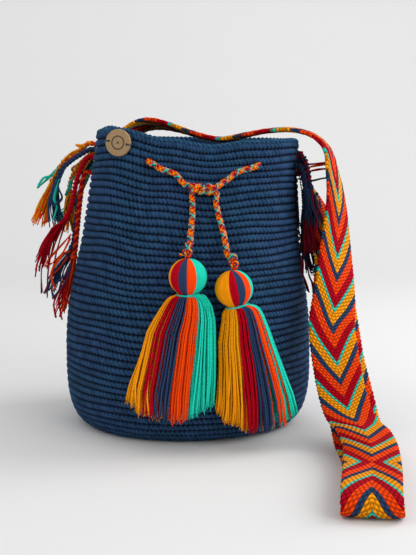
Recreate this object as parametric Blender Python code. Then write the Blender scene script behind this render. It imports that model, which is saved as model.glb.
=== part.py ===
# Wayuu mochila: a crocheted bucket bag with a woven shoulder strap, a drawstring with two
# tassels, knotted strap fringes and a wooden tag. Metres, +Z up, bag axis on Z, base on z = 0.
import math

import bmesh
import bpy
from mathutils import Vector

# Crocheted bag
BAG_HEIGHT = 0.288
BELLY_RADIUS = 0.1265
BELLY_HEIGHT = 0.083
BASE_RADIUS = 0.089
MOUTH_HALF_WIDTH = 0.1015
MOUTH_HALF_DEPTH = 0.080
MOUTH_SQUARENESS = 3.2
MOUTH_SHIFT = 0.0102
BASE_CORNER_POWER = 3.0
WALL = 0.0045
ROWS = 46
ROW_RELIEF = 0.0006
SEGMENTS = 32
RIM_ROUND = 0.0008
INNER_RINGS = 11
INNER_FLOOR_SHARE = 0.25
DEPTH_POWER = 1.6
SHIFT_POWER = 1.7
NORMAL_STEP = 0.004
# How far the side has narrowed from belly (1) to mouth (0) at shares of the height between them
NARROWING = ((0.0, 1.0), (0.12, 0.953), (0.26, 0.77), (0.47, 0.47), (0.64, 0.30), (0.80, 0.125), (0.90, 0.02),
             (1.0, 0.0))
# Rim height above or below BAG_HEIGHT at angles round the mouth, in degrees from +X
RIM_LIFTS = ((0, -0.002), (50, 0.002), (90, 0.003), (150, 0.004), (180, 0.008), (222, 0.0115), (250, 0.002),
             (280, -0.004), (305, 0.000), (330, 0.001), (360, -0.002))

# Clearances
TOUCH_GAP = 0.0003
SOFT_GAP = 0.0008
INSIDE_GAP = 0.0022
STRAP_SEAT_GAP = 0.0028

# Drawstring
CORD_DIAMETER = 0.0056
EYELET_CLEARANCE = 0.0008
EYELET_LEAD = 0.0055
EYELET_BELOW_RIM = 0.023
FRONT_EYELETS_X = (-0.0345, 0.0671)
BACK_EYELETS_X = (0.050, -0.040)
EYELET_CUT_MARGIN = 0.002
# Half the turn round the wall, in degrees, that each eyelet's straight lead takes up
EYELET_TURN = 9
# From each front eyelet to the half knot: inward, above the knot's middle, further out from the wall
LEFT_ARM = ((0.0115, 0.0185, 0.0035), (0.0234, 0.0145, 0.0020), (0.0330, 0.0045, 0.0015))
RIGHT_ARM = ((0.0090, 0.0185, 0.0035), (0.0180, 0.0160, 0.0020), (0.0285, 0.0085, 0.0015))
TWIST_RADIUS = 0.0034
TWIST_LENGTH = 0.0235
TWIST_TURNS = 1.5
TWIST_CENTRE_X = 0.0172
TWIST_CENTRE_Z = 0.2443
TWIST_DROP = 0.0015
# Sideways places of each hanging end on its way down from the half knot
LEFT_END_X = (0.0060, 0.0060, 0.0047, 0.0041)
RIGHT_END_X = (0.0282, 0.0315, 0.0360, 0.0390)

# Tassels
HEAD_RADIUS = 0.0176
NECK_RADIUS = 0.0094
NECK_DROP = 0.0165
KNOT_RADIUS = 0.0042
NECK_TIE_THICKNESS = 0.0027
HANK_GAP = 0.0004
FLUTE = 0.0005
ARC_STEP = 19
TASSEL_LENGTH = 0.131
TASSEL_END_RISE = 0.017
# Heights in the head at which it is divided, as shares of its radius below its middle
HEAD_LEVELS = (-0.985, -0.86, -0.62, -0.3, 0.05, 0.4, 0.66)
# Shares of the skirt's half width at which it is kept clear of the belly
SKIRT_PROBES = (-0.9, -0.6, -0.3, 0.0, 0.3, 0.6, 0.9)
SKIRT_HALF_DEPTH = 0.0135
LEFT_HEAD = (0.0020, 0.1650)
RIGHT_HEAD = (0.0447, 0.1536)
# Skirt stations: share of the length, half width, sideways shift of the middle
LEFT_SKIRT = ((0.17, 0.0200, -0.0004), (0.25, 0.0262, -0.0015), (0.39, 0.0316, -0.0062), (0.59, 0.0352, -0.0098),
              (0.84, 0.0395, -0.0146), (1.0, 0.0400, -0.0160))
RIGHT_SKIRT = ((0.17, 0.0180, 0.0036), (0.25, 0.0212, 0.0064), (0.39, 0.0262, 0.0112), (0.59, 0.0308, 0.0160),
               (0.84, 0.0362, 0.0205), (1.0, 0.0385, 0.0215))
# Borders between the five colours, in degrees round the head from the front, at the head and the hem
LEFT_BORDERS = ((-65, -42), (-29, -25), (-2, -4), (28.5, 30))
RIGHT_BORDERS = ((-14, -18), (11, 4), (36, 31), (60.5, 54))

# Shoulder strap
STRAP_WIDTH = 0.048
STRAP_THICKNESS = 0.0046
CHEVRON_PITCH = 0.0534
CHEVRON_DEPTH = 0.036
STRAP_STEP = 0.0085
STRAP_TURN = math.radians(20)
STRAP_COLUMNS = 4
STRAP_SEAT_ANGLE_LEFT = 163
STRAP_SEAT_ANGLE_RIGHT = 2
STRAP_SEAT_LENGTH = 0.017
# Stations of each sewn end, as shares of the seat's length from below
STRAP_SEAT_PARTS = (0.0, 0.35, 0.6)
CHEVRON_MIDDLE = 0.664
# Strap over the mouth: share of the mouth's half width, y, share of the bag's height, turn and lean of
# the width in degrees
STRAP_OVER_MOUTH = ((-0.790, 0.0285, 1.011, 79, -13), (-0.711, 0.0280, 1.031, 79, -13),
                    (-0.593, 0.0270, 1.057, 80, -13), (-0.445, 0.0245, 1.064, 80, -13),
                    (-0.243, 0.0200, 1.050, 80, -9), (0.053, 0.0100, 1.021, 82, -3), (0.262, 0.0040, 1.009, 84, 0),
                    (0.491, -0.0030, 1.024, 86, 0), (0.688, -0.0090, 1.039, 88, 0), (0.895, -0.0140, 1.044, 88, 0))
# Strap hanging to the floor: distance outside the belly's radius, y, share of the bag's height, turn
STRAP_DOWN = ((-0.0085, -0.0180, 1.033, 86), (0.0045, -0.0220, 1.010, 84), (0.0145, -0.0260, 0.969, 80),
              (0.0195, -0.0300, 0.896, 72), (0.0221, -0.0360, 0.799, 63), (0.0215, -0.0500, 0.632, 47),
              (0.0180, -0.0690, 0.472, 30), (0.0149, -0.0840, 0.372, 22), (0.0195, -0.0990, 0.229, 15),
              (0.0265, -0.1130, 0.128, 8))
# Strap on the floor: distance outside the belly's radius, y, height of the middle in thicknesses, turn
STRAP_ON_FLOOR = ((0.0325, -0.1330, 5.75, 2), (0.0365, -0.1600, 5.55, -3), (0.0370, -0.2000, 5.20, -6),
                  (0.0315, -0.2500, 4.85, -7), (0.0255, -0.2950, 4.85, -8), (0.0220, -0.3180, 4.75, -8),
                  (0.0200, -0.3330, 4.13, -8), (0.0195, -0.3385, 2.50, -8), (0.0210, -0.3320, 0.87, -8),
                  (0.0240, -0.3140, 0.57, -8), (0.0290, -0.2800, 0.57, -7), (0.0355, -0.2300, 0.57, -7),
                  (0.0385, -0.1850, 0.57, -5), (0.0385, -0.1520, 0.70, -2), (0.0370, -0.1280, 1.65, 2))
# Strap rising behind itself to the bag's right side: as STRAP_DOWN
STRAP_UP = ((0.0345, -0.1080, 0.083, 7), (0.0305, -0.0940, 0.167, 12), (0.0230, -0.0790, 0.295, 18),
            (0.0195, -0.0640, 0.410, 25), (0.0190, -0.0470, 0.528, 38), (0.0155, -0.0340, 0.642, 52),
            (0.0065, -0.0160, 0.771, 68), (-0.0055, -0.0020, 0.861, 82))

# Strap fringe: cords that come out of the wall: side angle, depth below the rim, then points as
# distance outside the wall's exit, y and drop
FRINGE_DIAMETER = 0.0054
LEFT_FRINGE = (
    ("fringe_orange_left", 171, 0.010, ((0.011, 0.016, -0.001), (0.024, 0.018, 0.010), (0.037, 0.020, 0.019),
                                        (0.047, 0.022, 0.034), (0.055, 0.023, 0.058), (0.060, 0.023, 0.080))),
    ("fringe_navy_left", 176, 0.016, ((0.010, 0.004, 0.001), (0.025, 0.004, 0.010), (0.036, 0.006, 0.020),
                                      (0.043, 0.008, 0.037), (0.046, 0.009, 0.058), (0.044, 0.009, 0.078))),
    ("fringe_yellow_left", 166, 0.017, ((0.010, 0.028, 0.003), (0.022, 0.031, 0.014), (0.031, 0.034, 0.030),
                                        (0.034, 0.035, 0.052), (0.036, 0.035, 0.078))),
    ("fringe_crimson_left", 183, 0.024, ((0.010, -0.008, 0.004), (0.018, -0.009, 0.022), (0.023, -0.008, 0.045),
                                         (0.032, -0.006, 0.066), (0.047, -0.004, 0.084), (0.057, -0.004, 0.112))),
    ("fringe_blue_left", 172, 0.031, ((0.010, 0.014, 0.004), (0.016, 0.014, 0.028), (0.021, 0.014, 0.060),
                                      (0.026, 0.014, 0.088), (0.040, 0.014, 0.112), (0.045, 0.014, 0.130))),
    ("fringe_red_left", 179, 0.040, ((0.009, 0.001, 0.004), (0.013, 0.000, 0.028), (0.016, -0.001, 0.056),
                                     (0.019, -0.002, 0.082), (0.026, -0.002, 0.112), (0.037, -0.002, 0.142))),
    ("fringe_turquoise_left", 159, 0.028, ((0.010, 0.036, 0.004), (0.019, 0.043, 0.022), (0.030, 0.047, 0.043),
                                           (0.042, 0.049, 0.060))),
)
RIGHT_FRINGE = (
    ("fringe_navy_right", -15, 0.018, ((0.007, -0.031, 0.006), (0.007, -0.036, 0.030), (0.0055, -0.040, 0.060),
                                       (0.007, -0.043, 0.086), (0.010, -0.045, 0.106))),
    ("fringe_crimson_right", -21, 0.030, ((0.008, -0.040, 0.005), (0.009, -0.046, 0.026), (0.010, -0.050, 0.052),
                                          (0.012, -0.053, 0.078))),
    ("fringe_orange_right", -22, 0.014, ((0.008, -0.048, 0.005), (0.011, -0.054, 0.020), (0.013, -0.058, 0.040),
                                         (0.015, -0.060, 0.064))),
    ("fringe_green_right", -27, 0.024, ((0.008, -0.055, 0.005), (0.011, -0.061, 0.026), (0.013, -0.065, 0.050))),
)
# Where each cord starts outside the wall, and how far it then runs straight out
FRINGE_START = 0.0010
FRINGE_EXIT = 0.0045

# Wooden tag
TAG_DIAMETER = 0.026
TAG_THICKNESS = 0.003
TAG_EDGE = 0.0004
TAG_HOLE_DIAMETER = 0.0022
TAG_HOLE_SPACING = 0.0188
TAG_THREAD_DIAMETER = 0.0011
TAG_X = -0.0635
TAG_BELOW_RIM = 0.0115
TAG_YAW = -20
TAG_ROLL = 10
TAG_SEAT = 0.0004
THREAD_LIFT = 0.0003
THREAD_FOOT = 0.0004

COLOURS = {
    "denim": (0.045, 0.105, 0.220),
    "navy": (0.030, 0.055, 0.135),
    "yellow": (0.950, 0.360, 0.010),
    "crimson": (0.470, 0.004, 0.020),
    "orange": (0.930, 0.085, 0.006),
    "turquoise": (0.030, 0.540, 0.400),
    "wood": (0.540, 0.330, 0.160),
}
YARN_OF_FRINGE = {"blue": "navy", "red": "orange", "green": "turquoise"}
TASSEL_COLOURS = ("yellow", "crimson", "navy", "orange", "turquoise")
CHEVRON_BANDS = (("orange", 0.25), ("navy", 0.17), ("yellow", 0.25), ("turquoise", 0.08), ("crimson", 0.25))


def clear_scene():
    for thing in list(bpy.data.objects):
        bpy.data.objects.remove(thing, do_unlink=True)


def make_material(name, roughness=0.9):
    material = bpy.data.materials.get(name)
    if material is None:
        material = bpy.data.materials.new(name)
        material.use_nodes = True
        shader = material.node_tree.nodes["Principled BSDF"]
        shader.inputs["Base Color"].default_value = (*COLOURS[name.split("_")[0]], 1.0)
        shader.inputs["Roughness"].default_value = roughness
        shader.inputs["Metallic"].default_value = 0.0
    return material


def add_mesh_object(name, shape, materials):
    bmesh.ops.recalc_face_normals(shape, faces=shape.faces)
    mesh = bpy.data.meshes.new(name)
    shape.to_mesh(mesh)
    shape.free()
    thing = bpy.data.objects.new(name, mesh)
    bpy.context.collection.objects.link(thing)
    for material in materials:
        mesh.materials.append(material)
    mesh.shade_smooth()
    mesh.set_sharp_from_angle(angle=math.radians(40))
    return thing


def between(keys, position):
    """Linear value of (position, value) keys."""
    for (left, low), (right, high) in zip(keys, keys[1:]):
        if position <= right:
            return low + (high - low) * (position - left) / (right - left)
    return keys[-1][1]


def smooth_between(keys, position):
    """Value of (position, value) keys, eased at each key so that a closed rim has no corners."""
    for (left, low), (right, high) in zip(keys, keys[1:]):
        if position <= right:
            share = (position - left) / (right - left)
            return low + (high - low) * share * share * (3 - 2 * share)
    return keys[-1][1]


# The bag's wall as a surface: an angle round the axis and a share of the local rim height

def rim_height(angle):
    return BAG_HEIGHT + smooth_between(RIM_LIFTS, math.degrees(angle) % 360)


def wall_section(share):
    belly_share = BELLY_HEIGHT / BAG_HEIGHT
    if share < belly_share:
        below = 1 - share / belly_share
        widened = (1 - below ** BASE_CORNER_POWER) ** (1 / BASE_CORNER_POWER)
        radius = BASE_RADIUS + (BELLY_RADIUS - BASE_RADIUS) * widened
        return radius, radius, 2.0, 0.0
    rise = (share - belly_share) / (1 - belly_share)
    narrow = between(NARROWING, rise)
    half_width = MOUTH_HALF_WIDTH + (BELLY_RADIUS - MOUTH_HALF_WIDTH) * narrow
    half_depth = MOUTH_HALF_DEPTH + (BELLY_RADIUS - MOUTH_HALF_DEPTH) * (1 - rise ** DEPTH_POWER)
    squareness = 2 + (MOUTH_SQUARENESS - 2) * rise ** 2
    return half_width, half_depth, squareness, MOUTH_SHIFT * rise ** SHIFT_POWER


def bare_wall_point(angle, share):
    half_width, half_depth, power, shift = wall_section(share)
    across = abs(math.cos(angle) / half_width) ** power
    along = abs(math.sin(angle) / half_depth) ** power
    radius = (across + along) ** (-1 / power)
    return Vector((shift + radius * math.cos(angle), radius * math.sin(angle), share * rim_height(angle)))


def wall_frame(angle, share):
    """Point on the wall with its outward normal."""
    point = bare_wall_point(angle, share)
    level = bare_wall_point(angle + NORMAL_STEP, share) - bare_wall_point(angle - NORMAL_STEP, share)
    low = max(share - NORMAL_STEP, 0.0)
    high = min(share + NORMAL_STEP, 1.0)
    upward = bare_wall_point(angle, high) - bare_wall_point(angle, low)
    return point, level.normalized().cross(upward.normalized()).normalized()


def wall_point(angle, share, outward=0.0):
    point, normal = wall_frame(angle, share)
    return point + normal * outward


def angle_at(x, share, front=True):
    """Angle of the wall at a sideways place x, on the front or the back."""
    low, high = (math.pi, 2 * math.pi) if front else (math.pi, 0.0)
    for _ in range(40):
        middle = (low + high) / 2
        if bare_wall_point(middle, share).x < x:
            low = middle
        else:
            high = middle
    return (low + high) / 2


def front_wall(x, z, outward):
    """Point in front of the wall at x and z, outward metres from it."""
    share = z / BAG_HEIGHT
    for _ in range(6):
        share = z / rim_height(angle_at(x, share))
    angle = angle_at(x, share)
    point = bare_wall_point(angle, share)
    return Vector((x, point.y - outward, z))


def row_shares():
    """Shares of the height at which the half rows lie, evenly spaced along the wall's slope."""
    samples = 600
    shares = [(index / samples) ** 2 for index in range(samples + 1)]
    points = [bare_wall_point(-math.pi / 4, share) for share in shares]
    lengths = [0.0]
    for before, after in zip(points, points[1:]):
        lengths.append(lengths[-1] + (after - before).length)
    found = []
    cursor = 0
    for half_row in range(2 * ROWS + 1):
        target = lengths[-1] * half_row / (2 * ROWS)
        while cursor < samples - 1 and lengths[cursor + 1] < target:
            cursor += 1
        part = (target - lengths[cursor]) / (lengths[cursor + 1] - lengths[cursor])
        found.append(shares[cursor] + (shares[cursor + 1] - shares[cursor]) * part)
    return found


def add_ring(shape, share, outward, lift=0.0):
    ring = []
    for segment in range(SEGMENTS):
        angle = 2 * math.pi * segment / SEGMENTS
        point = wall_point(angle, share, outward)
        point.z = max(point.z + lift, 0.0)
        ring.append(shape.verts.new(point))
    return ring


def bridge(shape, lower, upper):
    count = len(lower)
    for index in range(count):
        following = (index + 1) % count
        shape.faces.new((lower[index], lower[following], upper[following], upper[index]))


def make_bag_body():
    shape = bmesh.new()
    shares = row_shares()
    rings = []
    for half_row, share in enumerate(shares):
        edge = half_row in (0, len(shares) - 1)
        relief = 0.0 if edge else (ROW_RELIEF if half_row % 2 else -ROW_RELIEF)
        rings.append(add_ring(shape, share, relief))
    rings.append(add_ring(shape, 1.0, -WALL / 2, RIM_ROUND))
    inner_bottom = 1.3 * WALL / BAG_HEIGHT
    for ring in range(INNER_RINGS + 1):
        share = 1 - (1 - inner_bottom) * ring / INNER_RINGS
        rings.append(add_ring(shape, share, -WALL))
    floor = []
    for segment in range(SEGMENTS):
        angle = 2 * math.pi * segment / SEGMENTS
        radius = BASE_RADIUS + (BELLY_RADIUS - BASE_RADIUS) * INNER_FLOOR_SHARE
        floor.append(shape.verts.new((radius * math.cos(angle), radius * math.sin(angle), WALL)))
    rings.append(floor)
    for lower, upper in zip(rings, rings[1:]):
        bridge(shape, lower, upper)
    shape.faces.new(tuple(reversed(rings[0])))
    shape.faces.new(rings[-1])
    body = add_mesh_object("bag_body", shape, [make_material("denim")])
    for number, (point, normal) in enumerate(eyelet_places()):
        cut_eyelet(body, number, point, normal)
    return body


def eyelet_share(angle):
    return 1 - EYELET_BELOW_RIM / rim_height(angle)


def eyelet_places():
    """Middle of each eyelet in the wall and its outward normal, from front left round to back left."""
    places = []
    for x, front in [(x, True) for x in FRONT_EYELETS_X] + [(x, False) for x in BACK_EYELETS_X]:
        share = 1 - EYELET_BELOW_RIM / BAG_HEIGHT
        angle = angle_at(x, share, front)
        point, normal = wall_frame(angle, eyelet_share(angle))
        places.append((point - normal * WALL / 2, normal))
    return places


def cut_eyelet(body, number, point, normal):
    reach = WALL + 2 * (ROW_RELIEF + EYELET_CUT_MARGIN)
    bpy.ops.mesh.primitive_cylinder_add(vertices=16, radius=CORD_DIAMETER / 2 + EYELET_CLEARANCE, depth=reach,
                                        location=point, rotation=normal.to_track_quat("Z", "Y").to_euler())
    cutter = bpy.context.object
    cutter.name = f"eyelet_cutter_{number}"
    cutter.hide_render = True
    cutter.display_type = "WIRE"
    hole = body.modifiers.new(f"eyelet_{number}", "BOOLEAN")
    hole.operation = "DIFFERENCE"
    hole.solver = "EXACT"
    hole.object = cutter


# Smooth routes for cords and the strap

def route_point(points, position):
    """Point of a Catmull-Rom curve at a position counted in control points."""
    index = min(int(position), len(points) - 2)
    part = position - index
    before = points[max(index - 1, 0)]
    start = points[index]
    end = points[index + 1]
    after = points[min(index + 2, len(points) - 1)]
    square = part * part
    cube = square * part
    result = []
    for a, b, c, d in zip(before, start, end, after):
        result.append(0.5 * (2 * b + (c - a) * part + (2 * a - 5 * b + 4 * c - d) * square
                             + (3 * b - a - 3 * c + d) * cube))
    return result


def spaced_route(points, longest, most_turn):
    """Points read off the smooth curve, closer together where it bends."""
    fine = 40
    steps = (len(points) - 1) * fine
    samples = [Vector(route_point(points, step / fine)) for step in range(steps + 1)]
    kept = [samples[0]]
    travelled = 0.0
    turned = 0.0
    for index in range(1, steps):
        ahead = samples[index + 1] - samples[index]
        behind = samples[index] - samples[index - 1]
        travelled += behind.length
        turned += behind.angle(ahead, 0.0)
        if travelled >= longest or turned >= most_turn:
            kept.append(samples[index])
            travelled = 0.0
            turned = 0.0
    if (kept[-1] - samples[-1]).length < longest / 5 and len(kept) > 1:
        kept.pop()
    kept.append(samples[-1])
    return kept


def make_cord(name, colour, diameter, points, longest=None, most_turn=math.radians(38)):
    curve = bpy.data.curves.new(name, "CURVE")
    curve.dimensions = "3D"
    curve.bevel_depth = diameter / 2
    curve.bevel_resolution = 2
    curve.use_fill_caps = True
    curve.twist_mode = "MINIMUM"
    route = spaced_route(points, longest or 2.5 * diameter, most_turn)
    spline = curve.splines.new("POLY")
    spline.points.add(len(route) - 1)
    for place, point in zip(spline.points, route):
        place.co = (*point, 1.0)
    curve.materials.append(make_material(colour))
    thing = bpy.data.objects.new(name, curve)
    bpy.context.collection.objects.link(thing)
    return thing


# Drawstring

def inside_wall(angle):
    """Middle of the cord where it lies against the inside of the wall."""
    return wall_point(angle, eyelet_share(angle), -(WALL + INSIDE_GAP + CORD_DIAMETER / 2))


def outside_wall(angle):
    return wall_point(angle, eyelet_share(angle), ROW_RELIEF + SOFT_GAP + CORD_DIAMETER / 2)


def through_eyelet(place, inward):
    """Straight points through an eyelet, from outside to inside or back."""
    point, normal = place
    near = WALL / 2 + EYELET_LEAD / 3
    far = WALL / 2 + EYELET_LEAD
    run = [point + normal * reach for reach in (far, near, 0.0, -near, -far)]
    return run if inward else run[::-1]


def twist_strand(phase):
    """One of the two strands of the half knot, from left to right round a level axis."""
    count = 9
    middle = front_wall(TWIST_CENTRE_X, TWIST_CENTRE_Z, TWIST_RADIUS + CORD_DIAMETER / 2 + ROW_RELIEF + SOFT_GAP)
    points = []
    for index in range(count):
        share = index / (count - 1)
        turn = phase - 2 * math.pi * TWIST_TURNS * share
        x = middle.x + TWIST_LENGTH * (share - 0.5)
        y = middle.y + TWIST_RADIUS * math.cos(turn)
        z = middle.z + TWIST_RADIUS * math.sin(turn) - TWIST_DROP * (share - 0.5)
        points.append(Vector((x, y, z)))
    return points


def tassel_pivot(head):
    x, z = head
    place = front_wall(x, z, HEAD_RADIUS + ROW_RELIEF + SOFT_GAP)
    return Vector((x, place.y, z + HEAD_RADIUS + TOUCH_GAP + KNOT_RADIUS))


def hanging_end(places_x, head):
    """Cord from the half knot down to just above a tassel's knot."""
    pivot = tassel_pivot(head)
    top = TWIST_CENTRE_Z - 2 * TWIST_RADIUS - CORD_DIAMETER
    bottom = pivot.z + KNOT_RADIUS + 2 * TOUCH_GAP
    points = []
    for index, x in enumerate(places_x):
        share = index / (len(places_x) - 0.6)
        point = front_wall(x, top + (bottom - top) * share, CORD_DIAMETER / 2 + ROW_RELIEF + SOFT_GAP)
        point.y += (pivot.y - point.y) * share ** 1.5
        points.append(point)
    points.append(Vector((pivot.x, pivot.y, bottom + CORD_DIAMETER)))
    points.append(Vector((pivot.x, pivot.y, bottom + CORD_DIAMETER / 2)))
    points.append(Vector((pivot.x, pivot.y, bottom)))
    return points


def arm(eyelet_x, way, stations):
    """Points from a front eyelet down to the half knot."""
    points = []
    for inward, above, out in stations:
        clear = CORD_DIAMETER / 2 + ROW_RELIEF + SOFT_GAP + out
        points.append(front_wall(eyelet_x + way * inward, TWIST_CENTRE_Z + above, clear))
    return points


def side_run(start, end, count, place):
    """Points along the wall between two angles, ends left out."""
    return [place(start + (end - start) * index / (count + 1)) for index in range(1, count + 1)]


def drawstring_route():
    front_left, front_right, back_right, back_left = eyelet_places()
    share = 1 - EYELET_BELOW_RIM / BAG_HEIGHT
    left_angle = angle_at(FRONT_EYELETS_X[0], share)
    right_angle = angle_at(FRONT_EYELETS_X[1], share)
    back_right_angle = angle_at(BACK_EYELETS_X[0], share, front=False)
    back_left_angle = angle_at(BACK_EYELETS_X[1], share, front=False)
    turn = math.radians(EYELET_TURN)
    route = hanging_end(LEFT_END_X, LEFT_HEAD)[::-1]
    route += twist_strand(math.radians(-90))
    route += arm(FRONT_EYELETS_X[1], -1, RIGHT_ARM)[::-1]
    route += through_eyelet(front_right, inward=True)
    route += side_run(right_angle - 2 * math.pi + turn, back_right_angle - turn, 7, inside_wall)
    route += through_eyelet(back_right, inward=False)
    route += side_run(back_right_angle + turn, back_left_angle - turn, 3, outside_wall)
    route += through_eyelet(back_left, inward=True)
    route += side_run(back_left_angle + turn, left_angle - turn, 7, inside_wall)
    route += through_eyelet(front_left, inward=False)
    route += arm(FRONT_EYELETS_X[0], 1, LEFT_ARM)
    route += twist_strand(math.radians(90))
    route += hanging_end(RIGHT_END_X, RIGHT_HEAD)
    return route


def make_drawstring():
    return make_cord("drawstring", "orange_cord", CORD_DIAMETER, drawstring_route(),
                     longest=3 * CORD_DIAMETER, most_turn=math.radians(48))


# Tassels

def head_radius_at(drop):
    """Radius of the tied head at a drop below its middle."""
    below = min(abs(drop) / HEAD_RADIUS, 0.99)
    return HEAD_RADIUS * math.sqrt(1 - below * below)


def tassel_stations(skirt):
    """Drop below the head's middle, half width, half depth and sideways shift, from crown to hem."""
    stations = []
    for share in HEAD_LEVELS:
        radius = head_radius_at(share * HEAD_RADIUS)
        stations.append((share * HEAD_RADIUS, radius, radius, 0.0))
    tie = NECK_TIE_THICKNESS
    flare = NECK_RADIUS + 0.3 * tie
    stations.append((NECK_DROP - 0.75 * tie, flare, flare, 0.0))
    stations.append((NECK_DROP, NECK_RADIUS, NECK_RADIUS, 0.0))
    stations.append((NECK_DROP + 0.75 * tie, flare, flare, 0.0))
    for share, half_width, shift in skirt:
        stations.append((share * TASSEL_LENGTH, half_width, SKIRT_HALF_DEPTH, shift))
    return stations


def hank_outline(start, end, count, half_width, half_depth, fluted):
    """Outline of one colour's share of the section: an arc and the middle, drawn in by the gap."""
    def on_arc(degrees):
        turn = math.radians(degrees)
        return Vector((half_width * math.sin(turn), -half_depth * math.cos(turn)))
    first = on_arc(start)
    last = on_arc(end)
    inset = HANK_GAP / 2
    half_angle = first.angle(last) / 2
    middle_way = (first.normalized() + last.normalized()).normalized()
    points = [middle_way * inset / math.sin(half_angle)]
    for index in range(count + 1):
        point = on_arc(start + (end - start) * index / count)
        if index == 0:
            point += Vector((-first.y, first.x)).normalized() * inset
        elif index == count:
            point -= Vector((-last.y, last.x)).normalized() * inset
        elif fluted and index % 2:
            point *= 1 - 2 * FLUTE / half_depth
        points.append(point)
    return points


def tassel_centre(head, drop, half_width, half_depth, shift):
    """Middle of a tassel's section: it hangs clear of the bag's belly over its whole width."""
    x, z = head
    nearest = tassel_pivot(head).y
    for place in SKIRT_PROBES:
        depth = half_depth * math.sqrt(1 - place * place) + ROW_RELIEF + SOFT_GAP
        wall = front_wall(x + shift + place * half_width, max(z - drop, BELLY_HEIGHT), depth)
        nearest = min(nearest, wall.y)
    return Vector((x + shift, nearest, z - drop))


def border_angles(borders, share):
    angles = [-180.0]
    for at_head, at_hem in borders:
        angles.append(at_head + (at_hem - at_head) * share)
    angles.append(180.0)
    return angles


def bridge_hank(shape, lower, upper):
    """Join two outlines; both sides of a border fold along the same diagonal, from the middle out."""
    last = len(lower) - 1
    shape.faces.new((lower[0], lower[1], upper[1]))
    shape.faces.new((lower[0], upper[1], upper[0]))
    for index in range(1, last):
        shape.faces.new((lower[index], lower[index + 1], upper[index + 1], upper[index]))
    shape.faces.new((lower[last], lower[0], upper[last]))
    shape.faces.new((lower[0], upper[0], upper[last]))


def make_hank(side, number, head, skirt, borders):
    shape = bmesh.new()
    rings = []
    at_head = border_angles(borders, 0.0)
    count = max(3, round((at_head[number + 1] - at_head[number]) / ARC_STEP))
    for drop, half_width, half_depth, shift in tassel_stations(skirt):
        share = min(max((drop - NECK_DROP) / (TASSEL_LENGTH - NECK_DROP), 0.0), 1.0)
        angles = border_angles(borders, share)
        middle = tassel_centre(head, drop, half_width, half_depth, shift)
        fluted = drop > 1.3 * NECK_DROP
        outline = hank_outline(angles[number], angles[number + 1], count, half_width, half_depth, fluted)
        ring = []
        for point in outline:
            rise = TASSEL_END_RISE * (point.x / half_width) ** 2 if share == 1.0 else 0.0
            ring.append(shape.verts.new(middle + Vector((point.x, point.y, rise))))
        rings.append(ring)
    for lower, upper in zip(rings, rings[1:]):
        bridge_hank(shape, lower, upper)
    shape.faces.new(rings[0])
    shape.faces.new(tuple(reversed(rings[-1])))
    bmesh.ops.triangulate(shape, faces=[face for face in shape.faces if len(face.verts) > 4])
    colour = TASSEL_COLOURS[number]
    return add_mesh_object(f"tassel_{colour}_{side}", shape, [make_material(colour)])


def make_neck_tie(side, head):
    place = tassel_centre(head, NECK_DROP, NECK_RADIUS, NECK_RADIUS, 0.0)
    bpy.ops.mesh.primitive_torus_add(location=place, major_segments=18, minor_segments=6,
                                     major_radius=NECK_RADIUS + NECK_TIE_THICKNESS / 2 + 2 * TOUCH_GAP,
                                     minor_radius=NECK_TIE_THICKNESS / 2)
    tie = bpy.context.object
    tie.name = f"neck_tie_{side}"
    tie.data.materials.append(make_material("turquoise"))
    tie.data.shade_smooth()


def make_tie_knot(side, head):
    bpy.ops.mesh.primitive_uv_sphere_add(segments=14, ring_count=8, radius=KNOT_RADIUS, location=tassel_pivot(head))
    knot = bpy.context.object
    knot.name = f"tie_knot_{side}"
    knot.data.materials.append(make_material("orange_cord"))
    knot.data.shade_smooth()


def make_tassel(side, head, skirt, borders):
    for number in range(len(TASSEL_COLOURS)):
        make_hank(side, number, head, skirt, borders)
    make_neck_tie(side, head)
    make_tie_knot(side, head)


# Shoulder strap

def width_direction(turn, lean):
    turn = math.radians(turn)
    lean = math.radians(lean)
    return (math.cos(turn) * math.cos(lean), math.sin(turn) * math.cos(lean), math.sin(lean))


def level_chord(angle, share, outward):
    """Front and back wall points, the strap's width apart, on either side of an angle."""
    low = 0.0
    high = 1.0
    for _ in range(30):
        half = (low + high) / 2
        first = wall_point(angle - half, share, outward)
        second = wall_point(angle + half, share, outward)
        if (second - first).length < STRAP_WIDTH:
            low = half
        else:
            high = half
    return (first, second) if second.y > first.y else (second, first)


def seat_stations(angle, outward, hollow):
    """Strap middle and width direction, from below upward, where its end is sewn to the wall."""
    stations = []
    lowest = EYELET_BELOW_RIM - CORD_DIAMETER
    for part in STRAP_SEAT_PARTS:
        share = 1 - (lowest - STRAP_SEAT_LENGTH * part) / rim_height(angle)
        front, back = level_chord(angle, share, outward)
        width = (back - front).normalized()
        middle = (front + back) / 2 if hollow else wall_point(angle, share, outward)
        stations.append((*middle, *width))
    return stations


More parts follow.
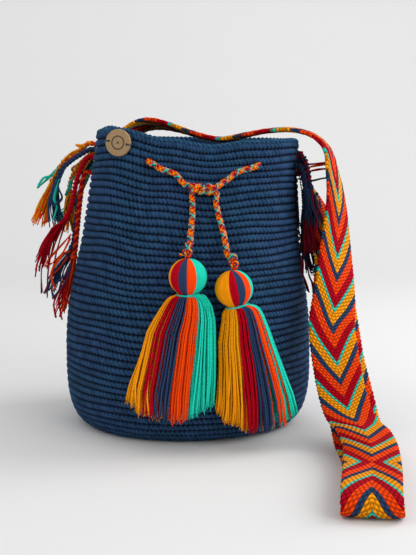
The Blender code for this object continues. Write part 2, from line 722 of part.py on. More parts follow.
def strap_stations():
    """Route of the strap: middle point and direction of the width, as six numbers a station."""
    inner = -(WALL + STRAP_SEAT_GAP + STRAP_THICKNESS / 2)
    outer = ROW_RELIEF + SOFT_GAP + STRAP_THICKNESS / 2
    stations = seat_stations(math.radians(STRAP_SEAT_ANGLE_LEFT), inner, hollow=True)
    for across, y, rise, turn, lean in STRAP_OVER_MOUTH:
        x = MOUTH_SHIFT + across * MOUTH_HALF_WIDTH
        stations.append((x, y, rise * BAG_HEIGHT, *width_direction(turn, lean)))
    for outside, y, rise, turn in STRAP_DOWN:
        stations.append((BELLY_RADIUS + outside, y, rise * BAG_HEIGHT, *width_direction(turn, 0)))
    for outside, y, layers, turn in STRAP_ON_FLOOR:
        stations.append((BELLY_RADIUS + outside, y, layers * STRAP_THICKNESS, *width_direction(turn, 0)))
    for outside, y, rise, turn in STRAP_UP:
        stations.append((BELLY_RADIUS + outside, y, rise * BAG_HEIGHT, *width_direction(turn, 0)))
    return stations + seat_stations(math.radians(STRAP_SEAT_ANGLE_RIGHT), outer, hollow=False)


def strap_samples():
    """Fine samples of the route: travelled length, middle, width direction and face direction."""
    stations = strap_stations()
    fine = 24
    samples = []
    for step in range((len(stations) - 1) * fine + 1):
        value = route_point(stations, step / fine)
        samples.append((Vector(value[:3]), Vector(value[3:])))
    found = []
    travelled = 0.0
    for index, (middle, width) in enumerate(samples):
        before = samples[max(index - 1, 0)][0]
        after = samples[min(index + 1, len(samples) - 1)][0]
        travelled += (middle - before).length
        forward = (after - before).normalized()
        width = (width - forward * width.dot(forward)).normalized()
        found.append((travelled, middle, width, forward.cross(width)))
    return found


def strap_place(samples, length):
    """Middle, width direction and face direction at a length along the strap."""
    low = 0
    high = len(samples) - 1
    while high - low > 1:
        middle = (low + high) // 2
        if samples[middle][0] <= length:
            low = middle
        else:
            high = middle
    start = samples[low]
    end = samples[high]
    share = min(max((length - start[0]) / (end[0] - start[0]), 0.0), 1.0)
    return tuple(start[item].lerp(end[item], share) for item in (1, 2, 3))


def chevron_colour(length, across):
    """Colour of the woven pattern at a length and a share of the half width from the middle."""
    away = abs(length - CHEVRON_MIDDLE) - CHEVRON_DEPTH * abs(across)
    share = away / CHEVRON_PITCH % 1
    for colour, size in CHEVRON_BANDS:
        if share < size:
            return colour
        share -= size
    return CHEVRON_BANDS[-1][0]


def strap_rows(samples):
    """Lengths along the strap at which it is divided: evenly, and closer where it folds."""
    rows = [0.0]
    turned = 0.0
    for before, at, after in zip(samples, samples[1:], samples[2:]):
        turned += (at[1] - before[1]).angle(after[1] - at[1], 0.0)
        if at[0] - rows[-1] >= STRAP_STEP or turned >= STRAP_TURN:
            rows.append(at[0])
            turned = 0.0
    total = samples[-1][0]
    if total - rows[-1] < STRAP_STEP / 3:
        rows.pop()
    return rows + [total]


def make_shoulder_strap():
    samples = strap_samples()
    columns = [2 * column / STRAP_COLUMNS - 1 for column in range(STRAP_COLUMNS + 1)]
    across = columns[:-1] + [1.0] + columns[:-1][::-1] + [-1.0]
    rows = strap_rows(samples)
    colours = list(TASSEL_COLOURS)
    shape = bmesh.new()
    rings = []
    for length in rows:
        middle, width, face = strap_place(samples, length)
        top = [middle + width * column * STRAP_WIDTH / 2 + face * STRAP_THICKNESS / 2 for column in columns]
        bottom = [point - face * STRAP_THICKNESS for point in top]
        rings.append([shape.verts.new(point) for point in top + bottom[::-1]])
    for number, (lower, upper) in enumerate(zip(rings, rings[1:])):
        length = (rows[number] + rows[number + 1]) / 2
        count = len(lower)
        for index in range(count):
            following = (index + 1) % count
            face = shape.faces.new((lower[index], lower[following], upper[following], upper[index]))
            middle_across = (across[index] + across[following]) / 2
            face.material_index = colours.index(chevron_colour(length, middle_across))
    shape.faces.new(rings[0])
    shape.faces.new(tuple(reversed(rings[-1])))
    return add_mesh_object("shoulder_strap", shape, [make_material(colour) for colour in colours])


# Fringes

def make_fringe_cord(name, angle_degrees, below_rim, points):
    angle = math.radians(angle_degrees)
    share = 1 - below_rim / rim_height(angle)
    way = -1 if math.cos(angle) < 0 else 1
    start, normal = wall_frame(angle, share)
    route = [start + normal * FRINGE_START, start + normal * (FRINGE_START + FRINGE_EXIT)]
    for outside, y, drop in points:
        route.append(Vector((start.x + way * (FRINGE_START + outside), y, start.z - drop)))
    named = name.split("_")[1]
    make_cord(name, YARN_OF_FRINGE.get(named, named), FRINGE_DIAMETER, route)


# Wooden tag

def tag_frame():
    """Middle of the tag's back with its outward and sideways directions."""
    share = 1 - TAG_BELOW_RIM / BAG_HEIGHT
    angle = angle_at(TAG_X, share)
    share = 1 - TAG_BELOW_RIM / rim_height(angle)
    point = bare_wall_point(angle, share)
    yaw = math.radians(TAG_YAW)
    outward = Vector((math.sin(yaw), -math.cos(yaw), 0.0))
    roll = math.radians(TAG_ROLL)
    side = Vector((math.cos(yaw), math.sin(yaw), 0.0))
    up = Vector((0.0, 0.0, 1.0))
    across = side * math.cos(roll) - up * math.sin(roll)
    lowest = 0.0
    for turn in range(0, 360, 15):
        rim = side * math.cos(math.radians(turn)) + up * math.sin(math.radians(turn))
        edge = point + rim * TAG_DIAMETER / 2
        wall = front_wall(edge.x, min(edge.z, BAG_HEIGHT), 0.0)
        lowest = max(lowest, (wall - edge).dot(outward))
    return point + outward * (lowest + TAG_SEAT), outward, across


def make_wooden_tag():
    back, outward, across = tag_frame()
    rotation = outward.to_track_quat("Z", "Y").to_euler()
    centre = back + outward * TAG_THICKNESS / 2
    bpy.ops.mesh.primitive_cylinder_add(vertices=32, radius=TAG_DIAMETER / 2, depth=TAG_THICKNESS,
                                        location=centre, rotation=rotation)
    tag = bpy.context.object
    tag.name = "wooden_tag"
    tag.data.materials.append(make_material("wood", 0.6))
    softened = tag.modifiers.new("edge", "BEVEL")
    softened.width = TAG_EDGE
    softened.segments = 1
    softened.limit_method = "ANGLE"
    for side in (-1, 1):
        place = centre + across * side * TAG_HOLE_SPACING / 2
        bpy.ops.mesh.primitive_cylinder_add(vertices=16, radius=TAG_HOLE_DIAMETER / 2, depth=3 * TAG_THICKNESS,
                                            location=place, rotation=rotation)
        cutter = bpy.context.object
        cutter.name = f"tag_hole_cutter_{side + 1}"
        cutter.hide_render = True
        cutter.display_type = "WIRE"
        hole = tag.modifiers.new(f"hole_{side + 1}", "BOOLEAN")
        hole.operation = "DIFFERENCE"
        hole.solver = "EXACT"
        hole.object = cutter


def make_tag_stitch(name, side):
    """Thread from a hole of the tag over its edge to the wall."""
    back, outward, across = tag_frame()
    thread = TAG_THREAD_DIAMETER
    over = outward * (TAG_THICKNESS + thread / 2 + TOUCH_GAP)
    lift = outward * THREAD_LIFT
    hole = across * side * TAG_HOLE_SPACING / 2
    beyond = across * side * (TAG_DIAMETER / 2 + thread / 2 + TOUCH_GAP)
    half_way = across * side * (TAG_HOLE_SPACING + TAG_DIAMETER) / 4
    route = [back + hole + outward * TAG_THICKNESS * 0.15, back + hole + outward * TAG_THICKNESS * 0.8,
             back + hole.lerp(beyond, 0.12) + over + lift, back + half_way + over + lift * 0.67,
             back + beyond + over - lift * 2.33, back + beyond * 1.015 + outward * TAG_THICKNESS / 2,
             back + beyond - outward * (thread + THREAD_FOOT)]
    make_cord(name, "navy", thread, route, longest=0.003, most_turn=math.radians(30))


clear_scene()
make_bag_body()
make_shoulder_strap()
make_drawstring()
make_tassel("left", LEFT_HEAD, LEFT_SKIRT, LEFT_BORDERS)
make_tassel("right", RIGHT_HEAD, RIGHT_SKIRT, RIGHT_BORDERS)
for cord in LEFT_FRINGE + RIGHT_FRINGE:
    make_fringe_cord(*cord)
make_wooden_tag()
make_tag_stitch("tag_stitch_left", -1)
make_tag_stitch("tag_stitch_right", 1)
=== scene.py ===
import math

import bpy
import numpy as np
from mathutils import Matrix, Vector


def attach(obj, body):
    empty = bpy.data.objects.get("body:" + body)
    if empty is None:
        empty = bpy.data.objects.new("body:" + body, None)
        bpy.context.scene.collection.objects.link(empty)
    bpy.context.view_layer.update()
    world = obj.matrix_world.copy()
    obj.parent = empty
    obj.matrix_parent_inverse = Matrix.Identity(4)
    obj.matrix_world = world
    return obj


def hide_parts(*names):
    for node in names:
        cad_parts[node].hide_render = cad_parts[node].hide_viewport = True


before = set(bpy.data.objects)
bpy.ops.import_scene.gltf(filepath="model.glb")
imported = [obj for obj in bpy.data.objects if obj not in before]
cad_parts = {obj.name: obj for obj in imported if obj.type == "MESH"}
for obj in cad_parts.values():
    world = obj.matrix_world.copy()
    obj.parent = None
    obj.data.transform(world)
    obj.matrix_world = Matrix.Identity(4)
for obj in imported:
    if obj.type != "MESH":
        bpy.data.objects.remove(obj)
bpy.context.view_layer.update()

dice = np.random.default_rng(7)
print("frame loaded")

colours = {
    "denimLight": (0.029, 0.098, 0.200), "denimViolet": (0.044, 0.078, 0.235),
    # the darkest denim colour below is painted shade for the grooves and pits of the crochet
    "denimGrooveShade": (0.0008, 0.003, 0.010),
    "navy": (0.026, 0.054, 0.128),
    "yellow": (1.000, 0.345, 0.004),
    "crimson": (0.480, 0.000, 0.012),
    "orange": (1.000, 0.068, 0.003),
    "turquoise": (0.014, 0.640, 0.470),
    # the three colours below are darkened navy, red and green yarn: painted shade for the right fringe, which
    # hangs in the shadow between bag and strap
    "shadowNavy": (0.006, 0.013, 0.036),
    "shadowRed": (0.110, 0.002, 0.008),
    "green": (0.004, 0.075, 0.045),
}

bag = {
    "height": 0.288, "bellyRadius": 0.1265, "bellyHeight": 0.083, "baseRadius": 0.089,
    "mouthHalfWidth": 0.1015, "mouthHalfDepth": 0.080, "mouthSquareness": 3.2, "mouthShift": 0.0102,
    "cornerPower": 3.0, "wall": 0.0045, "relief": 0.0006,
    "narrowing": ((0.0, 1.0), (0.12, 0.953), (0.26, 0.77), (0.47, 0.47), (0.64, 0.30), (0.80, 0.125),
                  (0.90, 0.02), (1.0, 0.0)),
    "rimLifts": ((0, -0.002), (50, 0.002), (90, 0.003), (150, 0.004), (180, 0.008), (222, 0.0115),
                 (250, 0.002), (280, -0.004), (305, 0.000), (330, 0.001), (360, -0.002)),
    "rows": 46, "stitches": 160, "perStitch": 4, "perRow": 4, "rowDepth": 0.0020, "slant": 1.05,
    "splitRow": 23, "dimple": 0.0034, "dimpleRadius": 0.0042, "baseRings": 16, "ringStep": 0.0055,
    "rimRaise": 0.0006, "rimEdge": 0.0009, "rimPath": 0.0012, "rimYarn": 0.00155,
    "rimPitch": 0.0094, "rollAt": 215, "roll": 0.85,
}


# the bag's wall as a surface: an angle round the axis and a share of the rim height

def eased(keys, position):
    at = np.array([key[0] for key in keys], float)
    value = np.array([key[1] for key in keys], float)
    place = np.clip(np.searchsorted(at, position, side="right") - 1, 0, len(at) - 2)
    share = np.clip((position - at[place]) / (at[place + 1] - at[place]), 0, 1)
    return value[place] + (value[place + 1] - value[place]) * share * share * (3 - 2 * share)


def rimHeight(angle):
    return bag["height"] + eased(bag["rimLifts"], np.degrees(angle) % 360)


def smoothNarrowing():
    at = np.linspace(0, 1, 401)
    rough = np.interp(at, [key[0] for key in bag["narrowing"]], [key[1] for key in bag["narrowing"]])
    window = np.hanning(61)
    padded = np.concatenate([np.full(30, rough[0]), rough, np.full(30, rough[-1])])
    return at, np.convolve(padded, window / window.sum(), mode="valid")


narrowAt, narrowValue = smoothNarrowing()


def wallPoints(angle, share):
    angle, share = np.broadcast_arrays(np.asarray(angle, float), np.asarray(share, float))
    belly = bag["bellyHeight"] / bag["height"]
    power = bag["cornerPower"]
    below = np.clip(1 - share / belly, 0, 1)
    low = bag["baseRadius"] + (bag["bellyRadius"] - bag["baseRadius"]) * (1 - below ** power) ** (1 / power)
    rise = np.clip((share - belly) / (1 - belly), 0, 1)
    narrow = np.interp(rise, narrowAt, narrowValue)
    mouthWidth, mouthDepth = bag["mouthHalfWidth"], bag["mouthHalfDepth"]
    width = np.where(share < belly, low, mouthWidth + (bag["bellyRadius"] - mouthWidth) * narrow)
    depth = np.where(share < belly, low, mouthDepth + (bag["bellyRadius"] - mouthDepth) * (1 - rise ** 1.6))
    square = 2 + (bag["mouthSquareness"] - 2) * rise ** 2
    across = (np.abs(np.cos(angle)) / width) ** square
    along = (np.abs(np.sin(angle)) / depth) ** square
    radius = (across + along) ** (-1 / square)
    return np.stack([bag["mouthShift"] * rise ** 1.7 + radius * np.cos(angle), radius * np.sin(angle),
                     share * rimHeight(angle)], axis=-1)


def unit(vectors):
    return vectors / np.maximum(np.linalg.norm(vectors, axis=-1, keepdims=True), 1e-12)


def wallNormals(angle, share):
    step = 0.004
    level = wallPoints(angle + step, share) - wallPoints(angle - step, share)
    upward = wallPoints(angle, np.minimum(share + step, 1)) - wallPoints(angle, np.maximum(share - step, 0))
    return unit(np.cross(level, upward))


def wallPlace(angle, share, outward=0.0):
    return wallPoints(angle, share) + wallNormals(angle, share) * outward


def angleAt(x, share, front=True):
    low, high = (math.pi, 2 * math.pi) if front else (math.pi, 0.0)
    for _ in range(30):
        middle = (low + high) / 2
        if wallPoints(middle, share)[0] < x:
            low = middle
        else:
            high = middle
    return (low + high) / 2


def frontWall(x, z, outward):
    share = z / bag["height"]
    for _ in range(4):
        share = z / float(rimHeight(angleAt(x, share)))
    point = wallPoints(angleAt(x, share), share)
    return np.array([x, point[1] - outward, z])


# meshes from arrays

def gridFaces(rows, columns, wrap):
    across = columns if wrap else columns - 1
    row, column = np.meshgrid(np.arange(rows - 1), np.arange(across), indexing="ij")
    following = (column + 1) % columns
    return np.stack([row * columns + column, row * columns + following, (row + 1) * columns + following,
                     (row + 1) * columns + column], axis=-1).reshape(-1, 4)


def gridUvs(rows, columns, wrap, uScale=1.0, vScale=1.0):
    across = columns if wrap else columns - 1
    row, column = np.meshgrid(np.arange(rows - 1), np.arange(across), indexing="ij")
    corners = [(column, row), (column + 1, row), (column + 1, row + 1), (column, row + 1)]
    scaled = [np.stack([u * uScale, v * vScale], axis=-1) for u, v in corners]
    return np.stack(scaled, axis=2).reshape(-1, 4, 2)


def meshFrom(name, points, quads, extraFaces=(), pointColours=None, quadColours=None, quadUvs=None,
             extraColour=None):
    mesh = bpy.data.meshes.new(name)
    mesh.from_pydata(points.reshape(-1, 3).tolist(), [], quads.tolist() + [list(face) for face in extraFaces])
    corners = 4 * len(quads)
    extraCorners = sum(len(face) for face in extraFaces)
    if pointColours is not None:
        layer = mesh.color_attributes.new("yarn", "FLOAT_COLOR", "POINT")
        full = np.concatenate([pointColours.reshape(-1, 3), np.ones((len(mesh.vertices), 1))], axis=1)
        layer.data.foreach_set("color", full.ravel())
    if quadColours is not None:
        layer = mesh.color_attributes.new("yarn", "FLOAT_COLOR", "CORNER")
        full = np.ones((corners + extraCorners, 4))
        full[:corners, :3] = np.repeat(quadColours, 4, axis=0)
        full[corners:, :3] = quadColours[-1] if extraColour is None else np.asarray(extraColour)
        layer.data.foreach_set("color", full.ravel())
    if quadUvs is not None:
        layer = mesh.uv_layers.new(name="weave")
        full = np.zeros((corners + extraCorners, 2))
        full[:corners] = quadUvs.reshape(-1, 2)
        layer.data.foreach_set("uv", full.ravel())
    mesh.polygons.foreach_set("use_smooth", [True] * len(mesh.polygons))
    mesh.update()
    thing = bpy.data.objects.new(name, mesh)
    bpy.context.collection.objects.link(thing)
    return thing


def tubeParts(paths, radius, sides, side=None):
    paths = np.asarray(paths, float)
    count, length, _ = paths.shape
    tangent = unit(np.gradient(paths, axis=1))
    if side is None:
        side = unit(np.cross(tangent, np.array([0.13, 1.0, 0.21])))
    side = unit(side - tangent * np.sum(side * tangent, axis=-1, keepdims=True))
    other = np.cross(tangent, side)
    radius = np.broadcast_to(np.asarray(radius, float), (count, length))[..., None, None]
    turn = 2 * math.pi * np.arange(sides) / sides
    cosine, sine = np.cos(turn)[None, None, :, None], np.sin(turn)[None, None, :, None]
    ring = side[:, :, None] * cosine + other[:, :, None] * sine
    points = paths[:, :, None] + ring * radius
    single = gridFaces(length, sides, True)
    offsets = np.arange(count)[:, None, None] * length * sides
    quads = (single[None] + offsets).reshape(-1, 4)
    caps = []
    for tube in range(count):
        start = tube * length * sides
        caps.append([start + index for index in range(sides)][::-1])
        caps.append([start + (length - 1) * sides + index for index in range(sides)])
    return points.reshape(-1, 3), quads, caps


def tubesObject(name, groups):
    points, quads, caps, shades, uvs = [], [], [], [], []
    offset = 0
    for paths, radius, sides, shade, side in groups:
        paths = np.asarray(paths, float)
        tubePoints, tubeQuads, tubeCaps = tubeParts(paths, radius, sides, side)
        points.append(tubePoints)
        quads.append(tubeQuads + offset)
        caps += [[index + offset for index in cap] for cap in tubeCaps]
        offset += len(tubePoints)
        perTube = (paths.shape[1] - 1) * sides
        shade = np.asarray(shade, float)
        if shade.ndim == 1:
            shade = np.repeat(shade[None], len(paths), axis=0)
        shades.append(np.repeat(shade, perTube, axis=0))
        step = np.linalg.norm(np.diff(paths, axis=1), axis=-1).mean()
        wide = float(np.mean(radius)) * 2
        single = gridUvs(paths.shape[1], sides, True, 1 / sides, step / wide)
        uvs.append(np.tile(single, (len(paths), 1, 1)))
    shades = np.concatenate(shades)
    return meshFrom(name, np.concatenate(points), np.concatenate(quads), caps, quadColours=shades,
                    quadUvs=np.concatenate(uvs), extraColour=shades[0] * 0.8)


def smoothPath(points, count):
    points = np.asarray(points, float)
    position = np.linspace(0, len(points) - 1, max(count * 3, 60))
    index = np.minimum(position.astype(int), len(points) - 2)
    part = (position - index)[:, None]
    before = points[np.maximum(index - 1, 0)]
    start = points[index]
    end = points[index + 1]
    after = points[np.minimum(index + 2, len(points) - 1)]
    curve = 0.5 * (2 * start + (end - before) * part + (2 * before - 5 * start + 4 * end - after) * part ** 2
                   + (3 * start - before - 3 * end + after) * part ** 3)
    travelled = np.concatenate([[0], np.cumsum(np.linalg.norm(np.diff(curve[:, :3], axis=0), axis=1))])
    even = np.linspace(0, travelled[-1], count)
    return np.stack([np.interp(even, travelled, curve[:, axis]) for axis in range(curve.shape[1])], axis=1)


def pathLength(path):
    return float(np.linalg.norm(np.diff(path, axis=0), axis=1).sum())


def carriedFrame(path):
    tangent = unit(np.gradient(path, axis=0))
    side = np.zeros_like(path)
    current = np.cross(tangent[0], np.array([0.3, 1.0, 0.2]))
    for index in range(len(path)):
        current = current - tangent[index] * current.dot(tangent[index])
        current = current / np.linalg.norm(current)
        side[index] = current
    return tangent, side, np.cross(tangent, side)


def laidStrands(path, count, radius, pitch, braided=False, weave=0.00032):
    tangent, side, other = carriedFrame(path)
    travelled = np.concatenate([[0], np.cumsum(np.linalg.norm(np.diff(path, axis=0), axis=1))])
    strands, outward = [], []
    for number in range(count):
        way = -1 if braided and number % 2 else 1
        start = number // 2 * 2 if braided else number
        turn = 2 * math.pi * start / count + way * 2 * math.pi * travelled / pitch
        radial = side * np.cos(turn)[:, None] + other * np.sin(turn)[:, None]
        wave = np.sin(count * math.pi * travelled / pitch + (number // 2) * math.pi)
        lift = way * weave * wave if braided else 0
        strands.append(path + radial * np.broadcast_to(radius + lift, len(path))[:, None])
        outward.append(radial)
    return np.array(strands), np.array(outward)


# materials

class Wire:
    def __init__(self, tree, socket):
        self.tree = tree
        self.socket = socket

    def join(self, other, operation, flipped=False):
        node = self.tree.nodes.new("ShaderNodeMath")
        node.operation = operation
        pair = [other, self] if flipped else [self, other]
        for slot, value in zip(node.inputs, pair):
            if isinstance(value, Wire):
                self.tree.links.new(value.socket, slot)
            else:
                slot.default_value = value
        return Wire(self.tree, node.outputs[0])

    def __add__(self, other):
        return self.join(other, "ADD")

    __radd__ = __add__

    def __mul__(self, other):
        return self.join(other, "MULTIPLY")

    __rmul__ = __mul__

    def __sub__(self, other):
        return self.join(other, "SUBTRACT")

    def __rsub__(self, other):
        return self.join(other, "SUBTRACT", flipped=True)

    def __pow__(self, other):
        return self.join(other, "POWER")


class Finish:
    def __init__(self, name):
        self.material = bpy.data.materials.new(name)
        self.material.use_nodes = True
        self.tree = self.material.node_tree
        self.shader = self.tree.nodes["Principled BSDF"]

    def node(self, kind, settings=None, outlet=0, **inputs):
        made = self.tree.nodes.new(kind)
        for setting, value in (settings or {}).items():
            if setting == "stops":
                for stop, (position, colour) in zip(made.color_ramp.elements, value):
                    stop.position = position
                    stop.color = (*colour, 1)
            else:
                setattr(made, setting, value)
        for slot, value in inputs.items():
            place = int(slot[4:]) if slot.startswith("slot") else slot.replace("_", " ")
            socket = made.inputs[place]
            if isinstance(value, Wire):
                self.tree.links.new(value.socket, socket)
            else:
                socket.default_value = value
        return Wire(self.tree, made.outputs[outlet])

    def feed(self, socket, wire):
        self.tree.links.new(wire.socket, self.shader.inputs[socket])

    def fixed(self, **values):
        for slot, value in values.items():
            self.shader.inputs[slot.replace("_", " ")].default_value = value


# yarn with painted shade in the gaps between its plies (gap sets how dark) and relief; woven is for the
# strap, whose V cords meet at mid width
def yarnFinish(name, twistAcross, twistAlong, ply=0.5, fuzz=0.4, variety=0.3, gap=0.35, woven=False):
    finish = Finish(name)
    place = finish.node("ShaderNodeTexCoord", outlet=3)
    weave = finish.node("ShaderNodeUVMap", {"uv_map": "weave"})
    yarn = finish.node("ShaderNodeAttribute", {"attribute_name": "yarn"})
    blotch = finish.node("ShaderNodeTexNoise", Vector=place, Scale=150.0, Detail=3.0)
    fibre = finish.node("ShaderNodeTexNoise", Vector=place, Scale=1400.0, Detail=2.0)
    across = finish.node("ShaderNodeSeparateXYZ", Vector=weave)
    along = finish.node("ShaderNodeSeparateXYZ", outlet=1, Vector=weave)
    if woven:
        across = across.join(0.0, "ABSOLUTE") + along.join(0.0, "FLOOR") * 0.19
    plies = (across * (2 * math.pi * twistAcross) + along * (2 * math.pi * twistAlong)
             + blotch * 1.2).join(0.0, "SINE") * 0.5 + 0.5
    # blotch and fibre vary the yarn's own tone; the plies term is painted shade
    shade = (blotch * variety + fibre * 0.3 + (1 - variety / 2 - 0.15)) * (plies * gap + (1 - gap))
    if woven:
        # painted shade: dark lines in the grooves between the cords
        seam = (along * math.pi).join(0.0, "SINE").join(0.0, "ABSOLUTE") ** 0.6
        shade = shade * (seam * 0.55 + 0.58)
    tone = finish.node("ShaderNodeMix", {"data_type": "RGBA", "blend_type": "MULTIPLY"}, outlet=2, slot0=1.0,
                       slot6=yarn, slot7=shade)
    finish.feed("Base Color", tone)
    bump = finish.node("ShaderNodeBump", Strength=0.7, Distance=0.0006, Height=plies * ply + fibre * fuzz)
    finish.feed("Normal", bump)
    finish.fixed(Roughness=0.85, Sheen_Weight=0.01, Sheen_Roughness=0.5, Specular_IOR_Level=0.06)
    return finish.material


finishes = {
    "crochet": yarnFinish("crochetYarn", 2.0, 1.0, ply=0.5, fuzz=0.9, variety=0.5, gap=0.30),
    "strap": yarnFinish("strapYarn", 1.9, 1.0, ply=1.2, fuzz=0.4, gap=0.62, woven=True),
    "cord": yarnFinish("cordYarn", 2.0, 0.8, ply=0.6, fuzz=0.4, variety=0.2, gap=0.25),
    "tassel": yarnFinish("tasselYarn", 2.0, 0.5, ply=0.5, fuzz=0.3, variety=0.15, gap=0.15),
    "ball": yarnFinish("ballYarn", 1.0, 0.0, ply=0.1, fuzz=0.3, variety=0.2, gap=0.05),
}


def dress(piece, finish, body, *nodes):
    piece.data.materials.clear()
    piece.data.materials.append(finish)
    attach(piece, body)
    if nodes:
        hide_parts(*nodes)
    return piece


# camera at the photo's viewing angle

camera = {"place": (0.0206, -1.200, 0.294), "pitch": 6.93, "lens": 75.5}
bpy.ops.object.camera_add(location=camera["place"], rotation=(math.radians(90 - camera["pitch"]), 0, 0))
view = bpy.context.object
view.data.lens = camera["lens"]
view.data.sensor_width = 36
bpy.context.scene.camera = view
print("camera placed")


# drawstring: one braided cord; two ends hang free from the front eyelets, the rest is held by the wall

drawstring = {
    "diameter": 0.0056, "belowRim": 0.023, "frontX": (-0.0345, 0.0671), "backX": (0.050, -0.040),
    "lead": 0.0055, "spareTurn": 9, "coreShadow": 0.12,
    "knotSize": 0.0038, "knotYarn": 0.0018, "knotDrop": 0.0124,
    "twistRadius": 0.0030, "twistLength": 0.0235, "twistTurns": 1.5, "twistX": 0.0172, "twistZ": 0.2443,
    "twistDrop": 0.0015, "twistClear": 0.0018, "clear": 0.0014, "insideGap": 0.0022,
    "leftX": (0.0060, 0.0060, 0.0047, 0.0041), "rightX": (0.0282, 0.0315, 0.0360, 0.0390),
    "leftArm": ((0.0115, 0.0185, 0.0035), (0.0234, 0.0145, 0.0020), (0.0330, 0.0045, 0.0015)),
    "rightArm": ((0.0090, 0.0185, 0.0035), (0.0180, 0.0160, 0.0020), (0.0285, 0.0085, 0.0015)),
    "strands": 12, "pitch": 0.0130, "strandRadius": 0.00078, "step": 0.0011, "heldStep": 0.0018,
    "shades": ("yellow", "crimson", "turquoise", "orange", "navy", "yellow", "crimson", "orange", "yellow",
               "turquoise", "crimson", "navy"),
}
tassels = {
    "headRadius": 0.0176, "knotRadius": 0.0042, "neckRadius": 0.0094, "neckDrop": 0.0165, "length": 0.131,
    "endRise": 0.017, "halfDepth": 0.0135, "gap": 0.0003, "clear": 0.0014,
    "thread": 0.00048, "tieYarn": 0.0005, "tieTurns": 2.4, "looseYarn": 0.00055,
    "left": {"head": (0.0020, 0.1650), "borders": ((-65, -42), (-29, -25), (-2, -4), (28.5, 30)),
             "skirt": ((0.17, 0.0200, -0.0004), (0.25, 0.0262, -0.0015), (0.39, 0.0316, -0.0062),
                       (0.59, 0.0352, -0.0098), (0.84, 0.0395, -0.0146), (1.0, 0.0400, -0.0160))},
    "right": {"head": (0.0447, 0.1536), "borders": ((-14, -18), (11, 4), (36, 31), (60.5, 54)),
              "skirt": ((0.17, 0.0180, 0.0036), (0.25, 0.0212, 0.0064), (0.39, 0.0262, 0.0112),
                        (0.59, 0.0308, 0.0160), (0.84, 0.0362, 0.0205), (1.0, 0.0385, 0.0215))},
    "colours": ("yellow", "crimson", "navy", "orange", "turquoise"),
    "strand": 0.00085, "tilt": {"left": 0.0, "right": 10.0},
}
cordRadius = drawstring["diameter"] / 2


def eyeletShare(angle):
    return 1 - drawstring["belowRim"] / rimHeight(angle)


def eyeletPlaces():
    places = []
    for x, front in [(x, True) for x in drawstring["frontX"]] + [(x, False) for x in drawstring["backX"]]:
        angle = angleAt(x, 1 - drawstring["belowRim"] / bag["height"], front)
        normal = wallNormals(angle, eyeletShare(angle))
        places.append((wallPoints(angle, eyeletShare(angle)) - normal * bag["wall"] / 2, normal, angle))
    return places


def throughEyelet(place, inward):
    point, normal, _ = place
    near = bag["wall"] / 2 + drawstring["lead"] / 3
    far = bag["wall"] / 2 + drawstring["lead"]
    run = [point + normal * reach for reach in (far, near, 0.0, -near, -far)]
    return run if inward else run[::-1]


def tasselPivot(head):
    x, z = head
    place = frontWall(x, z, tassels["headRadius"] + tassels["clear"])
    return np.array([x, place[1], z + tassels["headRadius"] + tassels["gap"] + tassels["knotRadius"]])


def twistStrand(phase):
    radius = drawstring["twistRadius"]
    outside = radius + cordRadius + drawstring["twistClear"]
    middle = frontWall(drawstring["twistX"], drawstring["twistZ"], outside)
    share = np.linspace(0, 1, 13)
    turn = phase - 2 * math.pi * drawstring["twistTurns"] * share
    x = middle[0] + drawstring["twistLength"] * (share - 0.5)
    y = middle[1] + radius * np.cos(turn)
    z = middle[2] + radius * np.sin(turn) - drawstring["twistDrop"] * (share - 0.5)
    return list(np.stack([x, y, z], axis=1))


def hangingEnd(placesX, head):
    pivot = tasselPivot(head)
    top = drawstring["twistZ"] - drawstring["knotDrop"]
    bottom = pivot[2] + tassels["knotRadius"] * 0.6
    points = []
    for index, x in enumerate(placesX):
        share = index / (len(placesX) - 0.6)
        point = frontWall(x, top + (bottom - top) * share, cordRadius + drawstring["clear"])
        point[1] += (pivot[1] - point[1]) * share ** 1.5
        points.append(point)
    for lift in (0.0056, 0.0028, 0.0):
        points.append(np.array([pivot[0], pivot[1], bottom + lift]))
    return points


def sideRun(start, end, count, inside):
    points = []
    for index in range(1, count + 1):
        angle = start + (end - start) * index / (count + 1)
        distance = cordRadius + (bag["wall"] + drawstring["insideGap"] if inside else drawstring["clear"])
        points.append(wallPlace(angle, eyeletShare(angle), -distance if inside else distance))
    return points


def braid(name, route, step=drawstring["step"]):
    length = pathLength(smoothPath(route, 400))
    path = smoothPath(route, int(length / step))
    thin = drawstring["strandRadius"]
    strands, outward = laidStrands(path, drawstring["strands"], cordRadius - thin, drawstring["pitch"], True)
    # the core is a dark tube under the strands: painted shade that shows in the gaps between them
    coreShadow = np.array(colours["crimson"]) * drawstring["coreShadow"]
    core = [(path[None], cordRadius - thin * 1.45, 8, coreShadow, None)]
    groups = core + [(strand[None], thin * 1.06, 6, colours[shade], radial[None])
                     for strand, radial, shade in zip(strands, outward, drawstring["shades"])]
    return tubesObject(name, groups), path, length


frontLeft, frontRight, backRight, backLeft = eyeletPlaces()


def arm(side, way):
    eyeletX = drawstring["frontX"][0 if side == "left" else 1]
    clear = cordRadius + drawstring["clear"]
    return [frontWall(eyeletX + way * inward, drawstring["twistZ"] + above, clear + further)
            for inward, above, further in drawstring[side + "Arm"]]


